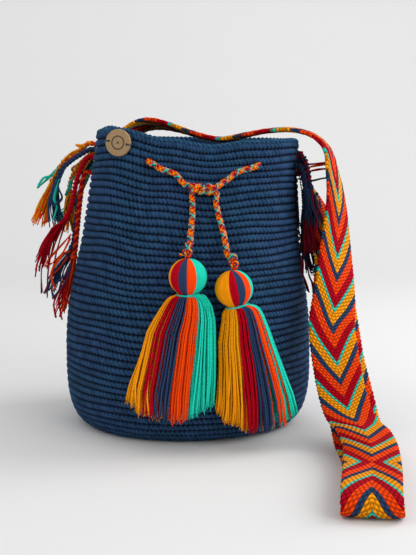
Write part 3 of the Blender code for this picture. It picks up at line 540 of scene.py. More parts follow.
endToRight = throughEyelet(frontLeft, False) + arm("left", 1) + twistStrand(math.pi / 2)
endToRight += hangingEnd(drawstring["rightX"], tassels["right"]["head"])
endToLeft = throughEyelet(frontRight, False) + arm("right", -1) + twistStrand(-math.pi / 2)[::-1]
endToLeft += hangingEnd(drawstring["leftX"], tassels["left"]["head"])
spare = math.radians(drawstring["spareTurn"])
heldRoute = throughEyelet(frontRight, True)[2:]
heldRoute += sideRun(frontRight[2] - 2 * math.pi + spare, backRight[2] - spare, 7, True)
heldRoute += throughEyelet(backRight, False) + sideRun(backRight[2] + spare, backLeft[2] - spare, 3, False)
heldRoute += throughEyelet(backLeft, True) + sideRun(backLeft[2] + spare, frontLeft[2] - spare, 7, True)
heldRoute += throughEyelet(frontLeft, False)[:3]

heldCord, _, heldLength = braid("drawstring_held", heldRoute, drawstring["heldStep"])
dress(heldCord, finishes["cord"], "bag", "drawstring")
print("drawstring braided", round(heldLength, 3))


def ropeGroups(path, shades):
    thick = drawstring["knotYarn"]
    strands, outward = laidStrands(path, 4, thick * 0.42, 0.008)
    return [(strand[None], thick * 0.5, 6, colours[shade], radial[None])
            for strand, radial, shade in zip(strands, outward, shades)]


def trefoilKnot(name, centre, shades, stub):
    turn = np.linspace(0, 2 * math.pi, 61)[:-1]
    loop = np.stack([np.sin(turn) + 2 * np.sin(2 * turn), 0.9 * np.sin(3 * turn),
                     np.cos(turn) - 2 * np.cos(2 * turn)], axis=1)
    loop = loop / 3 * drawstring["knotSize"] + centre
    loop = np.concatenate([loop, loop[:2]])
    stubPath = smoothPath([centre, centre + np.array(stub) * 0.6, centre + np.array(stub)], 8)
    return tubesObject(name, ropeGroups(loop, shades) + ropeGroups(stubPath, shades))


for side, route, stub in (("left", endToLeft, (-0.0075, -0.001, -0.0015)),
                          ("right", endToRight, (-0.0040, -0.002, 0.0045))):
    knot = trefoilKnot(f"end_knot_{side}", tasselPivot(tassels[side]["head"]),
                       ("orange", "crimson", "yellow", "navy"), stub)
    dress(knot, finishes["cord"], f"knot_{side}", f"tie_knot_{side}")
    cord, path, length = braid(f"drawstring_to_{side}", route)
    dress(cord, finishes["cord"], "bag", "drawstring")
    print("drawstring end", side, round(length, 3))


# strap fringes: two-ply twisted cords that come out of the wall, with knots and frayed ends

fringe = {
    "diameter": 0.0054, "start": 0.0010, "exit": 0.0045, "pitch": 0.0085,
    "plyPath": 0.00145, "plyRadius": 0.00160,
    "frayStrands": 34, "frayRadius": 0.00074, "frayStart": 0.0020, "fraySpread": 0.0072, "frayCurl": 0.0011,
    "fraySag": 0.003, "wrapPath": 0.0026, "wrapYarn": 0.0012, "wrapStep": 0.0016, "step": 0.0011,
    "loosePath": 0.00050, "looseYarn": 0.00058, "loosePitch": 0.0044, "looseApart": 0.0018,
    "cords": (
        ("orange_left", 171, 0.010, ((0.011, 0.016, -0.001), (0.024, 0.018, 0.010), (0.037, 0.020, 0.019),
                                     (0.047, 0.022, 0.034), (0.055, 0.023, 0.058), (0.060, 0.023, 0.080)),
         ("yellow", "orange"), 0.60, (-0.004, 0.000)),
        ("navy_left", 176, 0.016, ((0.010, 0.004, 0.001), (0.025, 0.004, 0.010), (0.036, 0.006, 0.020),
                                   (0.043, 0.008, 0.037), (0.046, 0.009, 0.058), (0.044, 0.009, 0.078)),
         ("navy", "navy"), 0.55, (0.001, 0.002)),
        ("yellow_left", 166, 0.017, ((0.010, 0.028, 0.003), (0.022, 0.031, 0.014), (0.031, 0.034, 0.030),
                                     (0.034, 0.035, 0.052), (0.036, 0.035, 0.078)),
         ("yellow", "yellow"), 0.62, (0.003, -0.002)),
        ("crimson_left", 183, 0.024, ((0.010, -0.008, 0.004), (0.018, -0.009, 0.022), (0.023, -0.008, 0.045),
                                      (0.032, -0.006, 0.066), (0.047, -0.004, 0.084), (0.057, -0.004, 0.112)),
         ("crimson", "crimson"), 0.55, (-0.002, 0.003)),
        ("blue_left", 172, 0.031, ((0.010, 0.014, 0.004), (0.016, 0.014, 0.028), (0.021, 0.014, 0.060),
                                   (0.026, 0.014, 0.088), (0.040, 0.014, 0.112), (0.045, 0.014, 0.130)),
         ("navy", "navy"), 0.66, (-0.003, 0.001)),
        ("red_left", 179, 0.040, ((0.009, 0.001, 0.004), (0.013, 0.000, 0.028), (0.016, -0.001, 0.056),
                                  (0.019, -0.002, 0.082), (0.026, -0.002, 0.112), (0.037, -0.002, 0.142)),
         ("crimson", "orange"), 0.62, (0.002, 0.002)),
        ("turquoise_left", 159, 0.028, ((0.010, 0.036, 0.004), (0.019, 0.043, 0.022), (0.030, 0.047, 0.043),
                                        (0.042, 0.049, 0.060)),
         ("turquoise", "turquoise"), 0.58, (-0.004, 0.000)),
        # the right cords use the darkened colours: painted shade for the shadow between bag and strap
        ("navy_right", -15, 0.018, ((0.007, -0.031, 0.006), (0.007, -0.036, 0.030), (0.0055, -0.040, 0.060),
                                    (0.007, -0.043, 0.086), (0.010, -0.045, 0.106)),
         ("shadowNavy", "shadowNavy"), 0.62, (0.001, 0.000)),
        ("crimson_right", -21, 0.030, ((0.008, -0.040, 0.005), (0.009, -0.046, 0.026), (0.010, -0.050, 0.052),
                                       (0.012, -0.053, 0.078)),
         ("shadowRed", "shadowRed"), 0.55, (0.001, 0.000)),
        ("orange_right", -22, 0.014, ((0.008, -0.048, 0.005), (0.011, -0.054, 0.020), (0.013, -0.058, 0.040),
                                      (0.015, -0.060, 0.064)),
         ("shadowRed", "shadowNavy"), 0.55, (0.001, 0.000)),
        ("green_right", -27, 0.024, ((0.008, -0.055, 0.005), (0.011, -0.061, 0.026), (0.013, -0.065, 0.050)),
         ("shadowNavy", "shadowNavy"), 0.55, (0.001, 0.000)),
    ),
    # yarns that hang loose beside a cord: its name, colour, how far forward, and points as x and z
    "loose": (
        ("orange_left", "turquoise", 0.016, ((-0.1356, 0.2631), (-0.1418, 0.2537), (-0.1511, 0.2508),
            (-0.157, 0.2401), (-0.1534, 0.2433), (-0.1453, 0.25), (-0.1368, 0.2588))),
        ("orange_left", "yellow", 0.012, ((-0.1262, 0.2733), (-0.1363, 0.2589), (-0.1434, 0.2444),
            (-0.1509, 0.2313), (-0.1565, 0.2189), (-0.1533, 0.2196))),
        ("orange_left", "yellow", 0.02, ((-0.1257, 0.2739), (-0.1384, 0.2557), (-0.1431, 0.2382),
            (-0.1499, 0.2235), (-0.153, 0.2154))),
        ("orange_left", "yellow", 0.01, ((-0.1055, 0.2835), (-0.1163, 0.2852), (-0.1113, 0.2813),
            (-0.1215, 0.2763), (-0.1304, 0.2676))),
        ("navy_left", "navy", 0.0, ((-0.1249, 0.265), (-0.1335, 0.2448), (-0.1297, 0.2304),
            (-0.1391, 0.2218), (-0.1341, 0.2247))),
        ("navy_left", "turquoise", 0.002, ((-0.1318, 0.2505), (-0.1379, 0.2303), (-0.1356, 0.2216),
            (-0.1402, 0.2071))),
        ("yellow_left", "yellow", 0.014, ((-0.0958, 0.2813), (-0.1119, 0.2675), (-0.1214, 0.26),
            (-0.1167, 0.2571), (-0.1047, 0.2661), (-0.0958, 0.2791))),
        ("yellow_left", "yellow", 0.018, ((-0.0954, 0.2798), (-0.1066, 0.2645), (-0.1152, 0.25),
            (-0.1103, 0.2491), (-0.1015, 0.2631), (-0.0947, 0.2783))),
        ("yellow_left", "yellow", 0.01, ((-0.0942, 0.2806), (-0.1083, 0.2705), (-0.1178, 0.256),
            (-0.1219, 0.2502), (-0.1132, 0.2531), (-0.0984, 0.2734))),
        ("yellow_left", "yellow", 0.016, ((-0.099, 0.2704), (-0.1124, 0.2471), (-0.1187, 0.2384),
            (-0.1176, 0.2311), (-0.1251, 0.2289), (-0.1275, 0.2179), (-0.1247, 0.2076), (-0.1199, 0.1966))),
        ("yellow_left", "yellow", 0.02, ((-0.1016, 0.2674), (-0.1114, 0.244), (-0.1175, 0.2308),
            (-0.1247, 0.2228), (-0.1298, 0.2147), (-0.1253, 0.1999))),
        ("yellow_left", "turquoise", 0.008, ((-0.11, 0.259), (-0.1122, 0.2547), (-0.1232, 0.246),
            (-0.1211, 0.2416), (-0.1262, 0.2358))),
        ("yellow_left", "turquoise", 0.012, ((-0.1111, 0.2567), (-0.1192, 0.2502), (-0.1245, 0.2385),
            (-0.1279, 0.2327))),
        ("crimson_left", "crimson", -0.02, ((-0.1252, 0.2076), (-0.1369, 0.2018), (-0.1458, 0.1858),
            (-0.1518, 0.1713), (-0.1553, 0.1523))),
        ("crimson_left", "crimson", -0.016, ((-0.125, 0.2087), (-0.1358, 0.1928), (-0.1443, 0.1753),
            (-0.15, 0.1592), (-0.1498, 0.1335))),
        ("crimson_left", "crimson", -0.026, ((-0.123, 0.2087), (-0.1312, 0.1936), (-0.1385, 0.1748),
            (-0.142, 0.1545), (-0.143, 0.1305))),
        ("crimson_left", "crimson", -0.022, ((-0.1228, 0.2077), (-0.1296, 0.1875), (-0.1354, 0.1686),
            (-0.1392, 0.1482), (-0.1383, 0.1292))),
        ("crimson_left", "orange", -0.024, ((-0.1189, 0.1949), (-0.1294, 0.1819), (-0.1394, 0.1703),
            (-0.1448, 0.1627), (-0.1375, 0.1659), (-0.1281, 0.1746), (-0.12, 0.1787))),
        ("crimson_left", "orange", -0.018, ((-0.1202, 0.1922), (-0.1259, 0.1784), (-0.136, 0.1638),
            (-0.1399, 0.1528), (-0.132, 0.1594), (-0.1228, 0.1726))),
        ("crimson_left", "orange", -0.028, ((-0.1185, 0.1909), (-0.1276, 0.1736), (-0.1357, 0.162),
            (-0.138, 0.1518), (-0.1339, 0.1388))),
        ("red_left", "crimson", -0.02, ((-0.1227, 0.1611), (-0.1261, 0.145), (-0.1319, 0.1289),
            (-0.1293, 0.1065))),
        ("red_left", "crimson", -0.016, ((-0.1235, 0.1577), (-0.1311, 0.1387), (-0.1377, 0.1239),
            (-0.1362, 0.1089))),
        ("red_left", "crimson", -0.024, ((-0.1215, 0.1543), (-0.1236, 0.1397), (-0.1259, 0.1295),
            (-0.1184, 0.1236))),
        ("red_left", "navy", -0.026, ((-0.119, 0.1661), (-0.1238, 0.1545), (-0.1341, 0.1458),
            (-0.1388, 0.14), (-0.1355, 0.1297))),
        ("red_left", "navy", -0.028, ((-0.118, 0.1649), (-0.1219, 0.1518), (-0.1296, 0.1402),
            (-0.1361, 0.1315))),
        # most loose yarns on the right use the darkened colours: painted shade for the shadow between bag and
        # strap
        ("navy_right", "shadowNavy", -0.04, ((0.1072, 0.2588), (0.109, 0.2421), (0.1109, 0.2225),
            (0.1127, 0.2057), (0.1206, 0.1903), (0.13, 0.1733), (0.1319, 0.162))),
        ("navy_right", "shadowNavy", -0.043, ((0.1105, 0.2589), (0.1132, 0.2422), (0.1151, 0.2227),
            (0.1168, 0.2046), (0.1246, 0.1891), (0.1276, 0.1722), (0.1271, 0.1595))),
        ("navy_right", "shadowNavy", -0.047, ((0.1061, 0.2576), (0.1077, 0.2369), (0.1095, 0.2174),
            (0.1119, 0.1979), (0.1173, 0.1825), (0.1231, 0.167), (0.1246, 0.1558))),
        ("navy_right", "green", -0.03, ((0.111, 0.2517), (0.1237, 0.2501), (0.1409, 0.2515))),
        ("crimson_right", "shadowRed", -0.046, ((0.1196, 0.2451), (0.1239, 0.2313), (0.1227, 0.2146),
            (0.127, 0.2006), (0.1244, 0.1838), (0.1263, 0.1683))),
        ("crimson_right", "shadowRed", -0.05, ((0.1165, 0.2425), (0.1201, 0.2259), (0.1249, 0.212),
            (0.1225, 0.1953), (0.1277, 0.18), (0.1243, 0.1645))),
        ("crimson_right", "green", -0.05, ((0.1287, 0.2384), (0.1222, 0.2259), (0.1179, 0.2107),
            (0.12, 0.2023))),
        ("crimson_right", "shadowRed", -0.052, ((0.1149, 0.1746), (0.1141, 0.1606), (0.1166, 0.1521),
            (0.1204, 0.14))),
        ("crimson_right", "shadowRed", -0.054, ((0.1183, 0.1706), (0.1209, 0.1566), (0.1241, 0.1482),
            (0.1259, 0.1361))),
        ("orange_right", "crimson", -0.03, ((0.1096, 0.2607), (0.1207, 0.2655), (0.1407, 0.268))),
        ("orange_right", "orange", -0.03, ((0.1096, 0.2582), (0.1222, 0.2638), (0.1411, 0.2652))),
        ("orange_right", "crimson", -0.03, ((0.1102, 0.2554), (0.1236, 0.259), (0.1407, 0.2616))),
        ("orange_right", "crimson", -0.052, ((0.1252, 0.215), (0.1273, 0.2011), (0.1247, 0.1899),
            (0.1264, 0.1802))),
    ),
}


def fringeRoute(angleDegrees, belowRim, points):
    angle = math.radians(angleDegrees)
    share = 1 - belowRim / float(rimHeight(angle))
    way = -1 if math.cos(angle) < 0 else 1
    start = wallPoints(angle, share)
    normal = wallNormals(angle, share)
    route = [start - normal * 0.001, start + normal * (fringe["start"] + fringe["exit"])]
    for outside, y, drop in points:
        route.append(np.array([start[0] + way * (fringe["start"] + outside), y, start[2] - drop]))
    return route


def frayedEnd(name, path, shades, lean):
    tangent, side, other = carriedFrame(path)
    share = np.linspace(0, 1, len(path))
    groups = []
    for number in range(fringe["frayStrands"]):
        turn = dice.uniform(0, 2 * math.pi)
        spread = dice.uniform(0.15, 1.0)
        wave = dice.uniform(0, 2 * math.pi)
        reach = dice.uniform(0.75, 1.12)
        start = fringe["frayStart"] * spread
        out = start + (fringe["fraySpread"] * spread) * share ** 1.1
        offset = (side * math.cos(turn) + other * math.sin(turn)) * out[:, None]
        curl = fringe["frayCurl"] * np.sin(share * dice.uniform(5, 9) + wave) * share
        strand = path[0] + (path - path[0]) * reach + offset
        strand[:, 0] += curl + lean[0] * share ** 1.5
        strand[:, 1] += curl * 0.6
        strand[:, 2] += lean[1] * share - fringe["fraySag"] * spread * share ** 2
        groups.append((strand[None], fringe["frayRadius"] * (1.15 - 0.35 * share)[None], 4,
                       np.array(colours[shades[number % 2]]) * dice.uniform(0.8, 1.1), None))
    ring = 2 * math.pi * np.linspace(0, 1, 17)
    around = side[0] * np.cos(ring)[:, None] + other[0] * np.sin(ring)[:, None]
    for lift in (0.0, fringe["wrapStep"]):
        wrap = path[0] + tangent[0] * lift + around * fringe["wrapPath"]
        groups.append((wrap[None], fringe["wrapYarn"], 6, colours[shades[1]], None))
    return tubesObject(name, groups)


def looseYarns(cordName):
    groups = []
    for owner, colour, y, points in fringe["loose"]:
        if owner != cordName:
            continue
        route = smoothPath([np.array([x, y, z]) for x, z in points], 40)
        strands, outward = laidStrands(route, 2, fringe["loosePath"], fringe["loosePitch"])
        apart = np.array([0.0, fringe["looseApart"], 0.0])
        for shift in (-apart, apart):
            wave = np.sin(np.linspace(0, 5, 40) + dice.uniform(0, 6))[:, None]
            sway = wave * dice.uniform(-0.001, 0.001, 3)
            groups += [((strand + shift + sway)[None], fringe["looseYarn"], 5, colours[colour], radial[None])
                       for strand, radial in zip(strands, outward)]
    return [tubesObject(f"loose_{cordName}", groups)] if groups else []


for name, angleDegrees, belowRim, points, shades, tied, lean in fringe["cords"]:
    whole = smoothPath(fringeRoute(angleDegrees, belowRim, points), 90)
    cut = int(90 * tied)
    cordPath = smoothPath(whole[:cut + 1], int(pathLength(whole[:cut + 1]) / fringe["step"]))
    strands, outward = laidStrands(cordPath, 2, fringe["plyPath"], fringe["pitch"])
    groups = [(strand[None], fringe["plyRadius"], 8, colours[shade], radial[None])
              for strand, radial, shade in zip(strands, outward, shades)]
    cord = tubesObject(f"twisted_{name}", groups)
    fray = frayedEnd(f"frayed_{name}", smoothPath(whole[cut:], 10), shades, lean)
    dress(cord, finishes["cord"], "bag", f"fringe_{name}")
    ends = [fray] + looseYarns(name)
    for end in ends:
        dress(end, finishes["tassel"], "bag")
print("fringes twisted")


# crocheted wall: rows of slanted stitches, modelled

def rowShares(positions):
    samples = np.linspace(0, 1, 1201) ** 2
    points = wallPoints(-math.pi / 4, samples)
    travelled = np.concatenate([[0], np.cumsum(np.linalg.norm(np.diff(points, axis=0), axis=1))])
    return np.interp(positions * travelled[-1], travelled, samples)


def crochetRings(firstRow, lastRow):
    columns = bag["stitches"] * bag["perStitch"]
    rings = (lastRow - firstRow) * bag["perRow"] + 1
    row = firstRow + np.arange(rings) / bag["perRow"]
    angle = 2 * math.pi * np.arange(columns) / columns
    rowGrid, angleGrid = np.meshgrid(row, angle, indexing="ij")
    stitch = angleGrid * bag["stitches"] / (2 * math.pi)
    wander = 0.10 * np.sin(3 * angleGrid + 0.9 * rowGrid) + 0.07 * np.sin(7 * angleGrid - 0.5 * rowGrid + 1.3)
    edge = np.clip(np.minimum(rowGrid, bag["rows"] - rowGrid) / 2, 0, 1)
    share = rowShares(np.clip((rowGrid + wander * edge) / bag["rows"], 0, 1))
    phase = rowGrid - np.floor(rowGrid - 1e-9)
    phase = np.where(rowGrid <= 0, 0.0, phase)
    number = np.floor(rowGrid - 1e-9)
    lean = stitch + bag["slant"] * (phase - 0.5) + 0.37 * number + 0.18 * np.sin(12.9 * number)
    lean += 0.12 * np.sin(5 * angleGrid + number)
    lump = np.abs(np.cos(math.pi * lean)) ** 0.7
    bead = np.sqrt(np.clip(1 - np.abs(2 * phase - 1) ** 2.6, 0, 1))
    pit = np.exp(-((phase % 1) / 0.30) ** 2) * (1 - lump) + np.exp(-((1 - phase) / 0.18) ** 2) * (1 - lump)
    stitchNoise = np.sin(number * 78.233 + np.floor(lean) * 12.9898) * 43758.5453
    uneven = stitchNoise - np.floor(stitchNoise)
    outward = bag["rowDepth"] * (bead * (0.55 + 0.45 * lump) - 0.66 - 0.40 * pit)
    outward += 0.0005 * (uneven - 0.5) * bead
    outward += 0.0011 * np.sin(2 * angleGrid + 0.11 * rowGrid + 0.6) * np.sin(0.21 * rowGrid + 1.0) * edge
    # painted shade: hollow is low in the grooves between rows and in the pits between stitches, and there the
    # colour goes towards the darkest denim
    hollow = np.clip(bead * (0.25 + 0.75 * lump) - 0.7 * pit, 0, 1)
    points = wallPlace(angleGrid, share, outward[..., None])
    for point, normal, _ in eyeletPlaces():
        distance = np.linalg.norm(points - (point + normal * bag["wall"] / 2), axis=-1)
        dimple = np.exp(-(distance / bag["dimpleRadius"]) ** 2)
        points -= normal * bag["dimple"] * dimple[..., None]
        # painted shade round each eyelet hole
        hollow = hollow * (1 - 0.85 * np.exp(-(distance / 0.0040) ** 2))
    points[..., 2] = np.maximum(points[..., 2], 0.0)
    dark = np.array(colours["denimGrooveShade"])
    light = np.array(colours["denimLight"])
    mottled = 0.76 + 0.48 * uneven
    hueNoise = np.sin(number * 39.43 + np.floor(lean) * 78.71) * 24634.63
    violet = 0.35 * (hueNoise - np.floor(hueNoise)) + 0.18 * (1 + np.sin(2.3 * angleGrid + 0.33 * rowGrid)
                                                              * np.sin(0.27 * rowGrid - 4 * angleGrid)) - 0.1
    light = light + (np.array(colours["denimViolet"]) - light) * np.clip(violet, 0, 1)[..., None]
    # the mottling from stitch to stitch and the violet hue are the yarn's own colour; the darkening by hollow
    # is painted shade
    shade = dark + (light * mottled[..., None] - dark) * (hollow[..., None] ** 1.25)
    return points, shade


def plainRings(shares, outward, tone):
    columns = bag["stitches"] * bag["perStitch"]
    angle = 2 * math.pi * np.arange(columns) / columns
    shareGrid, angleGrid = np.meshgrid(np.asarray(shares, float), angle, indexing="ij")
    points = wallPlace(angleGrid, shareGrid, outward)
    return points, np.broadcast_to(np.array(colours["denimLight"]) * tone, points.shape)


def discRings(radii, tone):
    columns = bag["stitches"] * bag["perStitch"]
    angle = 2 * math.pi * np.arange(columns) / columns
    circle = np.stack([np.cos(angle), np.sin(angle)], axis=1)
    points = np.stack([np.column_stack([radius * circle, np.full(columns, height)])
                       for radius, height in radii])
    return points, np.broadcast_to(np.array(colours["denimLight"]) * tone, points.shape)


def wallPiece(name, rings, shades, centreHeight, flip):
    points = np.concatenate(rings)
    shade = np.concatenate(shades)
    rows, columns = points.shape[:2]
    quads = gridFaces(rows, columns, True)
    uvs = gridUvs(rows, columns, True, 1 / bag["perStitch"], 1 / bag["perRow"])
    flat = points.reshape(-1, 3)
    centre = len(flat)
    flat = np.concatenate([flat, [[0, 0, centreHeight]]])
    last = (rows - 1) * columns if not flip else 0
    fan = []
    for column in range(columns):
        pair = [last + column, last + (column + 1) % columns]
        fan.append([pair[0], pair[1], centre] if not flip else [pair[1], pair[0], centre])
    tones = np.concatenate([shade.reshape(-1, 3), [shade.reshape(-1, 3)[-1]]])
    return meshFrom(name, flat, quads, fan, pointColours=tones, quadUvs=uvs)


lowerPoints, lowerShade = crochetRings(0, bag["splitRow"])
baseRings = [(0.004 + bag["ringStep"] * ring, 0.0007 * abs(math.sin(ring * 1.57)))
             for ring in range(bag["baseRings"])]
# tone 0.55 darkens the underside resting on the floor: painted shade
basePoints, baseShade = discRings(baseRings, 0.55)
wallLower = wallPiece("crochet_wall_lower", [basePoints, lowerPoints], [baseShade, lowerShade], 0.0, True)
upperPoints, upperShade = crochetRings(bag["splitRow"], bag["rows"])
# tones below one darken the rim top (0.8), the inside wall (0.5) and the inside floor (0.45): painted shade
rimPoints, rimShade = plainRings([1.0], -bag["wall"] / 2, 0.8)
rimPoints = rimPoints + np.array([0, 0, bag["rimEdge"]])
innerShares = np.linspace(1.0, 1.3 * bag["wall"] / bag["height"], 36)
innerPoints, innerShade = plainRings(innerShares, -bag["wall"], 0.5)
floorRings = [(bag["baseRadius"] * share, bag["wall"]) for share in (1.08, 0.7, 0.35, 0.05)]
floorPoints, floorShade = discRings(floorRings, 0.45)
wallUpper = wallPiece("crochet_wall_upper", [upperPoints, rimPoints, innerPoints, floorPoints],
                      [upperShade, rimShade, innerShade, floorShade], bag["wall"], False)


def makeRim():
    angle = np.linspace(0, 2 * math.pi, 721)
    path = wallPlace(angle, np.ones_like(angle), -bag["wall"] / 2) + np.array([0, 0, bag["rimRaise"]])
    puff = 1 + bag["roll"] * np.exp(-((np.degrees(angle) - bag["rollAt"]) / 6) ** 2)
    strands, outward = laidStrands(path, 2, bag["rimPath"], bag["rimPitch"])
    middle = path[None]
    groups = [((middle + (strand[None] - middle) * puff[None, :, None]), (bag["rimYarn"] * puff)[None], 8,
               np.array(colours["denimLight"]) * tone, radial[None])
              for strand, radial, tone in zip(strands, outward, (1.0, 0.85))]
    return tubesObject("crochet_rim", groups)


dress(makeRim(), finishes["crochet"], "bag", "bag_body")
dress(wallLower, finishes["crochet"], "bag", "bag_body")
dress(wallUpper, finishes["crochet"], "bag", "bag_body")
print("wall crocheted", len(wallLower.data.polygons), len(wallUpper.data.polygons))


# shoulder strap: warp cords in chevrons, one long woven band

strap = {
    "width": 0.048, "thickness": 0.0046, "pitch": 0.0534, "cords": 12, "depth": 0.038, "middle": 0.661,
    "uneven": ((0.1442, 2.708), (0.1893, 3.708), (0.2434, 4.708), (0.2975, 5.708), (0.3569, 6.708),
               (0.426, 7.708), (0.485, 8.708), (0.541, 9.708), (0.594, 10.708)),
    "ringsPerCord": 4, "columns": 33, "ridge": 0.0008, "fan": 26, "plyWidth": 0.0052, "plyRelief": 0.00016,
    "seatLeft": 163, "seatRight": 2, "seatLength": 0.017, "seatGap": 0.0028, "sewnGap": 0.0008,
    "belowRim": 0.0174,
    "order": ("orange",) * 3 + ("navy",) * 2 + ("yellow",) * 3 + ("turquoise",) + ("crimson",) * 3,
    "overMouth": ((-0.790, 0.0285, 1.011, 79, -13), (-0.711, 0.0280, 1.031, 79, -13),
                  (-0.593, 0.0270, 1.057, 80, -13), (-0.445, 0.0245, 1.064, 80, -13),
                  (-0.243, 0.0200, 1.050, 80, -9), (0.053, 0.0100, 1.021, 82, -3),
                  (0.262, 0.0040, 1.009, 84, 0), (0.491, -0.0030, 1.024, 86, 0),
                  (0.688, -0.0090, 1.039, 88, 0), (0.895, -0.0140, 1.044, 88, 0)),
    "down": ((-0.0085, -0.0180, 1.033, 86), (0.0045, -0.0220, 1.010, 84), (0.0145, -0.0260, 0.969, 80),
             (0.0195, -0.0300, 0.896, 72), (0.0221, -0.0360, 0.799, 63), (0.0215, -0.0500, 0.632, 47),
             (0.0180, -0.0690, 0.472, 30), (0.0149, -0.0840, 0.372, 22), (0.0195, -0.0990, 0.229, 15),
             (0.0265, -0.1130, 0.128, 8)),
    "onFloor": ((0.0325, -0.1330, 5.75, 2), (0.0365, -0.1600, 5.55, -3), (0.0370, -0.2000, 5.20, -6),
                (0.0315, -0.2500, 4.85, -7), (0.0255, -0.2950, 4.85, -8), (0.0220, -0.3180, 4.75, -8),
                (0.0200, -0.3330, 4.13, -8), (0.0195, -0.3385, 2.50, -8), (0.0210, -0.3320, 0.87, -8),
                (0.0240, -0.3140, 0.57, -8), (0.0290, -0.2800, 0.57, -7), (0.0355, -0.2300, 0.57, -7),
                (0.0385, -0.1850, 0.57, -5), (0.0385, -0.1520, 0.70, -2), (0.0370, -0.1280, 1.65, 2)),
    "up": ((0.0345, -0.1080, 0.083, 7), (0.0305, -0.0940, 0.167, 12), (0.0230, -0.0790, 0.295, 18),
           (0.0195, -0.0640, 0.410, 25), (0.0190, -0.0470, 0.528, 38), (0.0155, -0.0340, 0.642, 52),
           (0.0065, -0.0160, 0.771, 68), (-0.0055, -0.0020, 0.861, 82)),
}


def widthWay(turn, lean):
    turn = math.radians(turn)
    lean = math.radians(lean)
    return (math.cos(turn) * math.cos(lean), math.sin(turn) * math.cos(lean), math.sin(lean))


def seatStations(degrees, outward, hollow):
    stations = []
    angle = math.radians(degrees)
    for part in (0.0, 0.35, 0.6):
        share = 1 - (strap["belowRim"] - strap["seatLength"] * part) / float(rimHeight(angle))
        low, high = 0.0, 1.0
        for _ in range(30):
            half = (low + high) / 2
            first = wallPlace(angle - half, share, outward)
            second = wallPlace(angle + half, share, outward)
            if np.linalg.norm(second - first) < strap["width"]:
                low = half
            else:
                high = half
        front, back = (first, second) if second[1] > first[1] else (second, first)
        middle = (front + back) / 2 if hollow else wallPlace(angle, share, outward)
        stations.append([*middle, *unit(back - front)])
    return stations


def strapStations():
    sewnInside = -(bag["wall"] + strap["seatGap"] + strap["thickness"] / 2)
    sewnOutside = bag["relief"] + strap["sewnGap"] + strap["thickness"] / 2
    stations = seatStations(strap["seatLeft"], sewnInside, True)
    for across, y, rise, turn, lean in strap["overMouth"]:
        stations.append([bag["mouthShift"] + across * bag["mouthHalfWidth"], y, rise * bag["height"],
                         *widthWay(turn, lean)])
    for key, unitHeight in (("down", bag["height"]), ("onFloor", strap["thickness"]), ("up", bag["height"])):
        for outside, y, rise, turn in strap[key]:
            stations.append([bag["bellyRadius"] + outside, y, rise * unitHeight, *widthWay(turn, 0)])
    return stations + seatStations(strap["seatRight"], sewnOutside, False)


